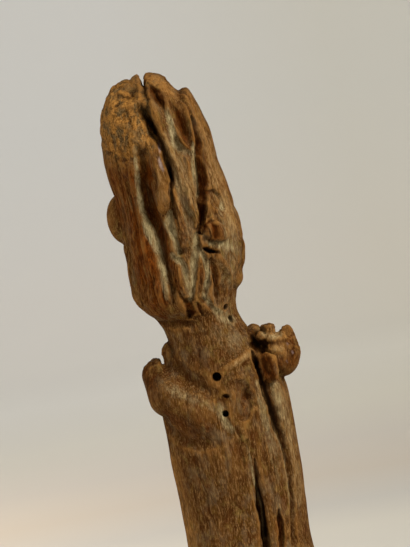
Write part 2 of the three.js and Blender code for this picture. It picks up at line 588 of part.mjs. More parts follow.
// Turns a cutter whose axis is +Z so that it stands square to the log, with its foot the given depth inside
function setInLog(geometry, degrees, height, depth) {
  const s = sectionAt(height);
  const angle = THREE.MathUtils.degToRad(degrees);
  const out = new THREE.Vector3(Math.sin(angle) / s.halfWidth, -Math.cos(angle) / s.halfDepth, 0).normalize();
  const foot = new THREE.Vector3(s.x + s.halfWidth * Math.sin(angle), s.y - s.halfDepth * Math.cos(angle), height);
  foot.addScaledVector(out, -depth);
  const up = new THREE.Vector3(0, 0, 1);
  const turn = new THREE.Matrix4().makeBasis(up.clone().cross(out).normalize(), up, out);
  return geometry.applyMatrix4(turn).translate(foot.x, foot.y, foot.z);
}

function boring([degrees, height, radius]) {
  const hole = new THREE.CylinderGeometry(radius, radius, BORING_DEPTH + CLEAR, ROUND_SIDES);
  hole.rotateX(Math.PI / 2).translate(0, 0, (BORING_DEPTH + CLEAR) / 2);
  return setInLog(hole, degrees, height, BORING_DEPTH);
}

function split([degrees, height, length, width]) {
  const outline = new THREE.Shape();
  outline.moveTo(0, -length / 2);
  outline.lineTo(width / 2, -length / 6);
  outline.lineTo(width / 3, length / 6);
  outline.lineTo(0, length / 2);
  outline.lineTo(-width / 2, length / 8);
  outline.lineTo(-width / 3, -length / 5);
  const blade = new THREE.ExtrudeGeometry(outline, { depth: SPLIT_DEPTH + CLEAR, bevelEnabled: false });
  return setInLog(blade, degrees, height, SPLIT_DEPTH);
}

const REACH = 47; // from the origin to past the widest wood
const xs = levels(-REACH, REACH, ACROSS);
const zs = levels(-2 * SUNK, HEIGHT + SUNK, ALONG);
const fine = surfaceOf(figureField, xs, xs, zs);
const { surface, pinches } = await thin(fine, VERTICES);
let log = toSolid(surface);
for (const pinch of pinches) log = log.add(toSolid(plug(pinch)));
[log] = log.decompose().sort((a, b) => b.volume() - a.volume()); // leaves out specks of hollow behind a plug
const aboveGround = new THREE.BoxGeometry(2 * REACH, 2 * REACH, HEIGHT + CLEAR);
aboveGround.translate(0, 0, (HEIGHT + CLEAR) / 2);
log = log.intersect(toSolid(aboveGround));
for (const one of BORINGS) log = log.subtract(toSolid(boring(one)));
for (const one of SPLITS) log = log.subtract(toSolid(split(one)));

const wood = new THREE.MeshStandardMaterial({ color: 0x6f5030, roughness: 0.78, metalness: 0 });
const figure = new THREE.Mesh(toGeometry(log), wood);
figure.name = "figure";

const carving = new THREE.Group();
carving.add(figure);

export default carving;
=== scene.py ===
# The finish of a carved wood figure: its worn surface as a fine mesh, its weathered wood, a plain studio.
# Sizes are millimetres up to the mesh, which is in metres. +Z is up and the worn back faces -Y.

import math

import bpy
import numpy as np
from mathutils import Matrix, Vector


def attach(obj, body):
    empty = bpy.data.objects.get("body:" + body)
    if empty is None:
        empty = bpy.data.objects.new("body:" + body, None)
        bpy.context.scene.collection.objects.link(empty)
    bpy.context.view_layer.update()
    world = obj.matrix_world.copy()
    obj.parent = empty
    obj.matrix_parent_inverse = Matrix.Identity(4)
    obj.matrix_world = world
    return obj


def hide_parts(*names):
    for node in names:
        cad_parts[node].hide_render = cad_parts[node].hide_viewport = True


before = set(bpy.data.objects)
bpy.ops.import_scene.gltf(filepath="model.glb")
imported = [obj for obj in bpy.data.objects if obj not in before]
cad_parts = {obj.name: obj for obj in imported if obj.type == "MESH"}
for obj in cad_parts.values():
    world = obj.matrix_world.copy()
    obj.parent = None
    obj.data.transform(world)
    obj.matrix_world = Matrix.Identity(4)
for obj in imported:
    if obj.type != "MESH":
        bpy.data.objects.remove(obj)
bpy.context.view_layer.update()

MM = 0.001

# Driving sizes of the log, as the solid has them
HEIGHT = 430
NECK = 300
CROTCH = 128
CROTCH_ROUNDING = 22
LEG_SPREAD = 17.5
GIRTH_RADIUS = 30
# The low round base: how far its edge wanders in and out, how far its top tilts, how its edge is rounded
BASE = {"height": 19, "radius": 36, "centre_y": 3, "wander": 1.2, "tilt": 1.5, "rounding": 5}
BASE_JOIN = 3  # rounding of its join to the feet
CROWN_ROUNDING = 6

# The trunk and head: height, left edge, right edge, back, front
SECTIONS = [
    [112, -27, 27, -19, 15],
    [130, -30, 30, -23, 19],
    [150, -32, 32, -27, 24],
    [168, -33, 33.5, -30, 27],
    [186, -30.7, 31.6, -29, 28],
    [206, -30.9, 32.4, -26.5, 28.5],
    [226, -31.3, 33.2, -26.5, 27],
    [246, -31.6, 33, -27, 25],
    [264, -31.6, 32.6, -27, 24],
    [279, -27.4, 28, -26, 22],
    [290, -22.6, 21, -24, 19.5],
    [NECK, -23.4, 16, -22.5, 17.5],
    [305, -25.6, 14.6, -22.8, 19.5],
    [308, -27.6, 14.6, -25, 21],
    [311, -31, 14.8, -27.4, 24],
    [319, -35.2, 16.5, -29.5, 29],
    [330, -35.6, 21.8, -30.5, 31],
    [344, -36, 23.8, -30.5, 31.5],
    [360, -35.4, 21.4, -31, 33],
    [380, -37.2, 18.5, -31, 33.5],
    [400, -39.6, 18.8, -30, 31],
    [HEIGHT + 10, -38, 13, -27, 28],
]

# The crown's outline across the head: place across, height above the ground
CROWN = [
    [-46, 380],
    [-40, 398.5],
    [-36.6, 410.6],
    [-33.5, 417.4],
    [-29.8, 423],
    [-24.4, 427.6],
    [-20.5, 428.6],
    [-18.4, 427.8],
    [-16.4, 429.4],
    [-14, 429.6],
    [-12.8, 424],
    [-11.6, 424.5],
    [-10.6, HEIGHT - 0.6],
    [-9.6, HEIGHT],
    [-6, HEIGHT - 0.6],
    [-2, 427.4],
    [0, 424],
    [4.3, 418.8],
    [6.4, 419.4],
    [9.3, 419],
    [11.4, 414.6],
    [13, 410],
    [18, 394],
    [26, 370],
]
CROWN_FALL = {"drop": 14, "reach": 28, "line": 1, "power": 3}
CROWN_CARVED = [0.35, 0.85]  # share of the way out from the middle where furrows start to cut the crown

# How a furrow's depth rises from its edges: higher for a rounder bottom and softer edges
SOFT = 1.4
CRISP = 0.5
FLAT = 0.2

# Furrows (depth over 0) and ridges (under 0) of the worn back: each has a lip, an edge and a path.
# A point on a path: millimetres across as seen from behind, height, half width, depth.
# The wall is steep on one side where there is a lip: on the left under 0, on the right over 0.
BACK_RUNS = [
    # the split behind the overhanging lip of the left lobe, and the pocket at its top
    (-0.5, SOFT, [[-13.8, 416.4, 2.4, 1.4], [-14.2, 411.6, 4.2, 7], [-11.8, 404, 4, 8.5],
                  [-9.4, 398, 2.6, 5], [-7.6, 391.5, 2.4, 3], [-6.8, 385, 2.2, 3.4], [-6.5, 379, 2, 6.5],
                  [-6.9, 373, 1.6, 1.6]]),
    # the step behind the top of the left lobe
    (-0.6, SOFT, [[-31, 416.4, 2.4, 1.4], [-26.4, 419.8, 3.4, 3], [-20, 421.2, 3.6, 2.6],
                  [-16, 421.4, 2, 0.8]]),
    # the broad furrow inside the left lobe, the valley below it, and the ridge that ends over them
    (-0.3, SOFT, [[-20, 396, 2.4, 1.6], [-18.6, 390, 4.8, 4.6], [-18.4, 382, 5.6, 6],
                  [-19.2, 373, 5.8, 6.6], [-19.6, 364, 5.8, 6.6], [-18.8, 357.5, 5, 6.2],
                  [-17, 350, 4.6, 5.6], [-16.4, 342, 4.2, 5], [-15.6, 332, 4.2, 4.6],
                  [-14.8, 323, 3.6, 3.4], [-15.2, 316, 2.6, 1.6]]),
    (0, CRISP, [[-13, 396, 2.6, -1], [-11.6, 387, 3, -2.2], [-11.2, 377, 3.4, -3], [-11.4, 369, 3.8, -3.4],
                [-12.6, 363, 3.4, -3]]),
    (0, SOFT, [[-10.4, 360, 2.4, 1.6], [-11.4, 354, 2.6, 2.6], [-10.2, 347, 2.4, 2.4],
               [-9, 341, 2.4, 2.4]]),
    (0, SOFT, [[-25.5, 400, 4, -1], [-26, 372, 4, -1.6], [-25.6, 345, 4, -1.8], [-25.4, 322, 4, -1.2]]),
    # the hollow under the cap of the crown, the ridge beside the split, the channel and the oval pocket
    (0.3, SOFT, [[-8.8, 422.8, 2.4, 2.8], [-6.2, 418.4, 4.2, 6], [-4.8, 413.4, 3.4, 4.4],
                 [-4, 408.6, 2.2, 1.6]]),
    (0, SOFT, [[-10.8, 419, 1.8, -0.8], [-9.4, 410, 2.6, -1.6], [-7, 401, 2.8, -1.8],
               [-4.4, 392.5, 2.8, -1.8], [-2.8, 385, 2.6, -1.8], [-1.4, 378, 2.4, -1.6],
               [-1, 370, 2.2, -0.8]]),
    (0, SOFT, [[-2.2, 412, 2, 1], [-2, 406, 2.8, 2.4], [-1.8, 399, 2.8, 2.8], [-0.4, 392, 2.6, 2.6],
               [3, 388, 2.4, 2], [5.4, 386, 1.8, 1]]),
    (0.3, SOFT, [[1.4, 413, 2, 1.4], [2.7, 405, 3.4, 3.8], [3.6, 398, 3.4, 4.4], [4.2, 391.6, 2.2, 2]]),
    (0, SOFT, [[4.4, 416, 2, -0.8], [6.3, 408, 1.9, -1.6], [7, 400, 1.6, -1.6], [6.4, 391, 1.4, -1.2]]),
    # the middle ridges of the head and the groove left of them
    (0, SOFT, [[-7.6, 374, 1.3, 1.6], [-7.8, 366, 1.5, 2.2], [-8, 358, 1.6, 2]]),
    (0, SOFT, [[-5.6, 371, 2, -0.8], [-4.9, 361, 2.4, -1.6], [-4.9, 350, 2.4, -1.8], [-5.6, 343, 2.2, -1.8],
               [-6, 340.6, 1.6, -1]]),
    (0, SOFT, [[2.4, 383, 2, -0.8], [2, 374, 2.6, -2], [1.6, 366, 2.8, -2.2], [2.2, 359, 2.8, -2.6],
               [1.2, 352.6, 2.2, -2.2]]),
    # the long dark furrow on the right of the head
    (0.5, SOFT, [[8.6, 407, 2, 2], [9.6, 399.5, 3, 5], [9.4, 391, 4, 6.8], [9, 382, 4.2, 7],
                 [8.2, 373, 4, 6.6], [7, 364, 3.6, 6], [4.8, 355.5, 3, 5.6], [2.4, 348, 2.4, 4]]),
    (0, SOFT, [[15.4, 402, 2.2, 1.8], [16.8, 395, 2.6, 2.6], [17.2, 388, 2.2, 1.4]]),
    # the step and hollow above the broken block, the block, and the hole under it
    (0.4, SOFT, [[9.8, 366, 2.4, 1.4], [13.6, 364.6, 3.6, 2.6], [16.8, 361.6, 3, 2.8],
                 [17.4, 358, 2.2, 1.6]]),
    (0, SOFT, [[13.2, 361, 4.2, 2.4], [16.2, 358, 3.2, 3], [14.6, 354.6, 2.4, 1.6]]),
    (0, FLAT, [[6.4, 348.6, 3.6, -3.4], [9.6, 347.6, 5.2, -3.8], [12.6, 345, 4, -3.2]]),
    (0, FLAT, [[9.4, 351.4, 1.6, -1.2], [10.2, 353.2, 0.9, -1.2]]),
    (0, CRISP, [[3.2, 339.2, 0.6, 2], [5, 338.5, 1.2, 7], [7.4, 337.2, 1.1, 6], [10.4, 335.8, 0.6, 2]]),
    # the branching furrows above the nape
    (0, SOFT, [[0.4, 347, 2, 2.2], [-1, 338, 2.8, 2.8], [-2.8, 333, 2.7, 2.6], [-4.2, 327, 2.6, 2.6],
               [-6, 320, 2.5, 2.2], [-7.4, 315.6, 2.2, 1.6]]),
    (0, SOFT, [[0.8, 340.4, 2, 1.6], [3.4, 333, 2.4, 2.4], [3.8, 327, 2.4, 2.4], [2, 321, 2.3, 2.2],
               [-0.4, 315.6, 2.1, 1.7]]),
    (0, SOFT, [[-0.4, 315.6, 2, 1.2], [2, 311, 2.3, 1.4], [4.6, 306.4, 2.4, 0.8]]),
    (0, SOFT, [[0, 332, 1.6, 0.8], [0.3, 326.5, 1.8, 1.2], [-0.8, 320.6, 1.6, 0.8]]),
    (0, SOFT, [[-13, 339.4, 2, 1.2], [-10.4, 337.4, 2.6, 1.8], [-8, 333, 2.5, 1.9], [-7.4, 326.6, 2.3, 1.9],
               [-8.2, 319.6, 2.2, 1.4]]),
    (0, SOFT, [[-11, 334, 1.8, -1], [-10, 328, 2, -2], [-10.2, 320, 1.8, -1.2]]),
    (0, SOFT, [[6.2, 332, 2.4, 2], [6.9, 324, 3, 3.4], [6.4, 316, 2.6, 3], [6, 310.5, 1.8, 1.6]]),
    (0, SOFT, [[10.4, 333, 2.4, -1.6], [12.8, 328.5, 2.6, -2], [13.4, 322, 2.6, -2], [12.6, 315, 2.2, -1]]),
    (0, CRISP, [[-9, 314, 2.2, 3], [-8.4, 310, 2.4, 4], [-9, 307, 1.6, 2]]),
    (0, SOFT, [[-3.4, 312.4, 2, 2], [-3.2, 307.6, 2, 2]]),
    # the undercut below the rim of the head
    (0.6, SOFT, [[-25.4, 305.4, 1.6, 1], [-19, 303.8, 2.6, 2.4], [-12, 304, 2.4, 2.4], [-7, 302, 2, 1.2]]),
    # the gap between the trunk and the outer strip of wood on the right, which narrows downwards
    (0, CRISP, [[18.6, 283, 1.1, 8], [19.4, 276, 1.2, 11], [20.4, 269, 1.4, 13], [21.8, 261, 1.8, 14],
                [23.2, 252, 2.2, 14], [23.6, 246, 2, 12], [24.8, 240, 1.3, 9], [25.8, 233, 0.9, 6],
                [26, 222, 0.8, 4], [24.6, 205, 0.7, 3.4], [22.4, 190, 0.6, 2.5]]),
    (-0.35, SOFT, [[22.4, 278, 2.6, 3], [24, 262, 3.4, 4], [25, 246, 3.4, 4.4], [27, 236, 3, 5],
                   [27.6, 228, 3, 5.4], [26.8, 214, 2.8, 5], [25, 200, 2.6, 4.6], [22.6, 186, 2.4, 3.6],
                   [21, 168, 2, 1.4]]),
    # the slot beside it, and the step along the middle split
    (0, CRISP, [[17.8, 204, 1, 2], [17.3, 199.5, 1.7, 5], [15.8, 189, 1.8, 5], [14.4, 177, 1.4, 3]]),
    (-0.6, SOFT, [[7.4, 241, 2, 0.6], [8.4, 230, 2.6, 1.2], [9, 220, 3.2, 1.8], [10.4, 211, 3.4, 2.2],
                  [9.8, 197, 3.2, 2], [8.8, 176, 2.8, 1]]),
    # the shoulders: the light ridge, the torn patch and the hollows either side of the left shoulder's ridge
    (0, SOFT, [[2, 277.5, 3, -1], [9, 281, 3.2, -1.8], [16, 284, 3, -1.8]]),
    (0, SOFT, [[8.4, 270, 4, 2], [11, 262.6, 5, 3.6], [8.6, 254.6, 4, 2.2]]),
    (0, SOFT, [[-20, 284, 5, 2.4], [-14, 276, 5.4, 2.8], [-6, 268, 4.6, 1.8]]),
    (0, SOFT, [[-31, 254, 3, 1], [-24, 247.6, 4.4, 1.8], [-16, 243, 4.4, 1.6], [-7, 243, 4, 0.8]]),
    (0, SOFT, [[-1, 263, 4.4, 1.6], [-1.4, 255, 4, 1.6], [0, 247, 3.6, 0.8]]),
    # the cleft of the buttocks
    (0, SOFT, [[0, 182, 3, 2], [0, 168, 3.6, 5], [0, 146, 3.4, 4]]),
]

# The same round the rest of the log. A point on a path: degrees round from the middle of the back, height,
# half width, depth.
ROUND_RUNS = [
    # brow, nose, eye hollows and mouth
    (0, SOFT, [[155, 389, 5, -1.6], [180, 392, 5, -2], [205, 389, 5, -1.6]]),
    (0, SOFT, [[180, 388, 4.4, -3], [180, 372, 5, -5], [180, 362, 6, -6]]),
    (0, SOFT, [[154, 379, 5.5, 3], [163, 378, 5, 2.8]]),
    (0, SOFT, [[206, 379, 5.5, 3], [197, 378, 5, 2.8]]),
    (0, SOFT, [[167, 346, 3.4, -1.8], [180, 346, 4, -2.4], [193, 346, 3.4, -1.8]]),
    (0, SOFT, [[171, 346, 1.6, 2.4], [189, 346, 1.6, 2.4]]),
    # navel and the groove down the belly
    (0, SOFT, [[180, 199, 5, -3], [180, 196, 5, -3]]),
    (0, SOFT, [[180, 262, 5, 1.6], [180, 218, 5, 1]]),
    # furrows of the sides and front
    (0, SOFT, [[236, 412, 2.6, 2], [240, 380, 3, 3], [236, 352, 2.6, 2]]),
    (0, SOFT, [[128, 410, 2.6, 2.4], [124, 385, 3, 4], [128, 350, 2.8, 3]]),
    (0, SOFT, [[98, 396, 2.6, 1.6], [102, 372, 3.2, 2.4], [98, 345, 2.6, 1.8]]),
    (0, SOFT, [[258, 340, 2.6, 2], [262, 322, 2.6, 2]]),
    (0, SOFT, [[150, 244, 1.8, 2], [146, 216, 2.8, 5], [150, 176, 2, 3]]),
    (0, SOFT, [[250, 236, 1.8, 2], [254, 206, 2.6, 4], [250, 170, 2, 2.4]]),
]

# Swellings joined softly to the log: centre, radii and how far the join is rounded
SWELLINGS = [
    ([-33.6, 6, 359.5], [8.8, 7.5, 13], 1.6),  # the ear that is left
    ([15.2, -4, 322.5], [5.4, 7, 6.5], 1.6),  # the end of the other ear
    ([-7, 27, 324], [15, 9, 9], 9),  # chin
    ([-22.4, -5, 287.8], [4.6, 7, 7.4], 1),  # between neck and left arm
    ([21, 3, 286.6], [5.6, 8, 9.5], 2),  # between neck and right arm
    ([32.2, -5, 279.2], [9.8, 11.5, 11.4], 1.5),  # stump of the right arm
    ([13.5, 24, 243], [9.5, 10, 12], 6),  # breasts
    ([-13.5, 24, 244], [9.5, 9, 12], 6),
    ([15, -16, 164], [15.5, 17, 18], 10),  # buttocks
    ([-15, -16, 164], [15.5, 17, 18], 10),
]

# Round limbs that taper from one end to the other: two ends, two radii and the rounding of the join
LIMBS = [
    ([-30.1, -5, 279.4], [-26.8, -7, 267.6], [8.4, 10], 2),  # stump of the left arm
    ([-26, -13, 270], [-11, -18.6, 257.6], [8.8, 8.2], 6),  # ridge of the left shoulder
    ([-12.2, -2, 420.6], [-12.6, -14, 420.6], [2.4, 2.4], 1),  # below the notch of the crown
    ([-12.6, -14, 420.6], [-13, -22.6, 415.4], [2.4, 2.6], 1),
    ([28.2, -7, 284], [28, -6, 291.4], [5.4, 4.2], 2.5),  # block on the right stump
    ([36.4, -6, 282], [37.4, -5, 290.2], [5.4, 2.8], 2),  # hook on the right stump
    ([23.4, -12, 290.8], [30.6, -13.4, 287.6], [1.6, 3], 0.8),  # ledge across its broken face
    ([29, -14.2, 283.6], [33, -13, 283], [3, 2.8], 1),  # lump under the ledge
    ([22.4, -17.6, 279.8], [23.6, -17.4, 271], [2.6, 2.4], 0.8),  # splinter below them
    ([25, -18, 279.8], [25.4, -17.4, 269.4], [2.8, 2.8], 0.8),
    ([27.2, -17.6, 278.6], [26.8, -17, 270], [2.6, 2.6], 0.8),
]

# Hollows cut into the log with round ends: two ends, two radii and the rounding of their edge
HOLLOWS = [
    ([19.4, -27, 298], [20, -13, 286], [2.8, 3], 1),  # beside the neck
    ([22.6, -24, 285.8], [23.4, -12, 285], [3.2, 3], 1),  # over the splinter
    ([18.8, -26, 284], [19, -15, 276], [1.3, 1.3], 0.8),  # top of the gap
    ([33.4, -18, 291.4], [33.3, 4, 293], [1.5, 1.7], 1.2),  # saddle of the right stump
    ([24, -23, 286.4], [27.6, -17, 286], [2.4, 1.8], 0.6),  # under the ledge
    ([28, -18.4, 286], [37, -16, 286.4], [1.3, 1.1], 0.6),
    ([36.8, -20, 288], [37.4, -16, 279], [2.6, 2.2], 0.8),  # broken right side
    ([-27.9, -18, 289.4], [-26.9, 4, 287], [1, 1], 0.6),  # notch by the stump of the left arm
    ([-27.4, -18, 287.8], [-26.9, 4, 285.8], [1, 1], 0.5),  # and its narrow foot, finer than the solid has it
    ([-27.2, -18, 286.2], [-26.9, 4, 284.6], [0.9, 0.9], 0.5),
]

# One leg from hip to toes, in the same way. The other is its mirror image.
LEG = [
    ([LEG_SPREAD - 1.5, -6, 150], [LEG_SPREAD, 2, 94], [17, 13], 9),
    ([LEG_SPREAD, 2, 94], [LEG_SPREAD, -3, 62], [13, 12.4], 8),
    ([LEG_SPREAD, -3, 62], [LEG_SPREAD, -1, 27], [12.4, 9.6], 8),
    ([LEG_SPREAD, -4, 24], [LEG_SPREAD + 0.5, 21, 22], [9.4, 6.6], 5),
]

# Round holes bored by insects: degrees, height, radius
BORINGS = [
    [-3.5, 275.6, 2.3],
    [-1.5, 256.6, 1.7],
    [48, 308.5, 1.5],
    [50, 301.8, 1.9],
    [120, 232, 1.8],
    [214, 272, 1.7],
    [200, 180, 2],
]
BORING_DEPTH = 9

# Drying splits: degrees, height of the middle, length, width
SPLITS = [
    [15.8, 200, 66, 3.4],
    [196, 200, 54, 2.4],
    [100, 188, 62, 2.6],
]
SPLIT_DEPTH = 9
SPLIT_TIP = [0.5, 1]  # half width and depth at both ends

# The dark cores of the clefts, with steep walls: millimetres across, height, half width, depth
CLEFTS = [
    [[-15.2, 414, 0.8, 1], [-14.8, 411, 1.4, 2], [-12.2, 405.8, 1.8, 4], [-10, 400.4, 1.1, 5],
     [-8.4, 396.6, 0.7, 1.5], [-6.9, 388, 0.5, 0.8], [-6.3, 381.5, 0.7, 4], [-6.5, 376.5, 0.8, 4]],
    [[10.4, 398, 0.9, 1.2], [10.8, 390, 1.1, 1.4], [10.6, 381, 1.1, 1.4], [9.8, 373, 1.1, 1.4],
     [8, 364, 1.2, 2], [5.6, 357, 1.3, 1.6], [3, 350.5, 1.1, 1.6]],
    [[8.4, 228, 0.4, 1], [8.9, 220.5, 0.5, 2], [9.4, 216.5, 0.9, 5], [10, 212.4, 0.6, 3.5],
     [10.6, 208.6, 1, 6], [10, 201, 1.1, 7], [9, 192.6, 1, 6], [8.6, 182, 0.7, 4]],
    [[-9.4, 309.6, 1.2, 2.5], [-9.8, 307, 1, 2]],
    [[0.4, 265.6, 0.8, 2], [1.4, 264.2, 0.9, 2.4]],
]

# Finer lines of the worn back, too shallow for the solid: millimetres across, height, half width, depth
VEINS = [
    [[-11.9, 416, 1.2, -0.5], [-8.9, 403.5, 1.6, -1.1], [-6, 395, 1.4, -1], [-3, 383, 1.3, -1],
     [-2.7, 374.5, 1.2, -0.5]],
    [[-6.2, 407, 1.1, 0.5], [-4.2, 398, 1.1, 0.7], [-1.8, 388, 1, 0.7], [0, 379, 1, 0.5]],
    [[-6.8, 376, 1, 0.8], [-6.7, 366.4, 1.1, 1.2], [-5, 357, 1.2, 1.4], [-5, 347, 1, 0.8]],
    [[1.1, 386, 1, 0.8], [1.6, 373.7, 1.3, 1.3], [2.6, 364.8, 1.3, 1.2], [2.8, 356, 1, 0.6]],
    [[9.7, 405, 0.9, 0.7], [12.9, 393.6, 1.1, 1.2], [13.8, 383.8, 1.1, 1], [14.3, 371.5, 0.9, 0.6]],
    [[13.9, 404, 0.9, 0.6], [17, 388.4, 1, 0.9], [18.9, 371, 1, 0.8], [20.6, 353, 0.9, 0.7]],
    [[-32, 392, 1.2, 0.6], [-31.5, 379.5, 1.6, 1.1], [-31.1, 362, 1.6, 1], [-30.7, 344.4, 1.6, 1.1],
     [-29, 318, 1.2, 0.6]],
    [[-27.7, 391, 1.2, 0.6], [-28, 374.5, 1.6, 1], [-27.6, 357, 1.5, 0.9], [-26.4, 339.3, 1.6, 1.2],
     [-26, 321.7, 1.3, 0.7]],
    [[-16.7, 389, 1.1, 0.8], [-16.4, 377, 1.3, 1], [-15, 364, 1, 0.6]],
    [[-14.1, 334.5, 1, 0.8], [-13, 325.6, 1.2, 1.4], [-11.1, 316.5, 1, 0.9]],
    [[-10.9, 328, 0.9, 0.8], [-9.7, 314.5, 1, 1]],
    [[7.1, 331, 1, 0.8], [6.2, 320.4, 1.1, 1], [3.8, 312, 0.9, 0.7]],
    [[13.4, 330, 1, 0.9], [13.4, 319.2, 1, 0.8]],
    [[17.2, 332, 0.9, 0.8], [16.8, 320.3, 0.9, 0.7]],
    # the crust's lower edge, and the step and wrinkles of the crown
    [[-36, 394, 1.8, 1.3], [-31.8, 391.5, 1.8, 1.2], [-25.2, 389.7, 1.8, 0.8], [-19, 392, 1.6, 1],
     [-12.5, 394, 1.2, 0.4]],
    [[-30, 413, 2.4, -0.8], [-25, 415.4, 2.6, -1.2], [-19, 416.6, 2.6, -1.2]],
    [[-28.4, 356.7, 0.8, -0.5], [-30.4, 348, 0.9, -0.6], [-30.7, 336.3, 0.9, -0.6],
     [-28.1, 325.1, 0.9, -0.6], [-25.1, 316.4, 0.8, -0.5]],
    [[-34.4, 346, 0.8, -0.5], [-34.5, 335.2, 0.9, -0.6], [-32.8, 324.1, 0.9, -0.6],
     [-29.1, 314.4, 0.8, -0.5]],
    [[-26.3, 424, 0.9, 1.1], [-21.7, 420.4, 0.9, 1.1]],
    [[-28.4, 422.5, 0.9, 1.1], [-23.9, 419, 0.9, 1.1]],
    [[-23.6, 425.4, 0.9, 1.1], [-18.8, 421.4, 0.9, 1.1]],
    [[-19, 428, 0.8, 1.2], [-17.6, 423, 1, 1.4]],
    # the body
    [[-6, 244, 1, 0.4], [-3.7, 230, 1.3, 0.6], [-2.5, 210, 1, 0.4]],
    [[4.6, 250, 1, 0.6], [4.7, 232.5, 1.2, 0.8], [6, 212, 1, 0.3]],
    [[-20, 236, 1.2, 0.5], [-17, 214, 1.4, 0.6], [-15, 196, 1, 0.4]],
    [[14, 246, 1.2, 0.6], [15.6, 226, 1.4, 0.8], [16, 210, 1, 0.4]],
]

# Streaks of the grain: width, length, seed and height
GRAIN = [
    [0.95, 15, 11, 0.13],
    [1.9, 30, 12, 0.17],
    [4.2, 60, 13, 0.26],
    [13, 15, 14, 0.4],
]
# In the same way: how the grain bends, how furrows wander across it and along it, and the head's crumbling
BEND = [[16, 34, 5, 2.4]]
WANDER_ACROSS = [[4.6, 7, 1, 0.95], [1.6, 3, 2, 0.42]]
WANDER_ALONG = [[6, 6, 3, 1.2]]
CRUMBLING = [[2.4, 8, 21, 0.8], [5.5, 13, 22, 0.9]]
CRUMBLING_FROM = 306
CRUMBLING_RISE = 10

# Fine drying cracks: how many, the lowest place, the greatest depth, seed
CRACKS = [
    [150, CROTCH, 0.9, 4],
    [60, NECK + 8, 1.5, 6],
]
CRACK_LENGTH = [5, 26]
CRACK_WIDTH = [0.3, 0.55]
CRACK_LEAST_DEPTH = 0.3
CRACK_DRIFT = 0.5
CRACK_POINTS = 6

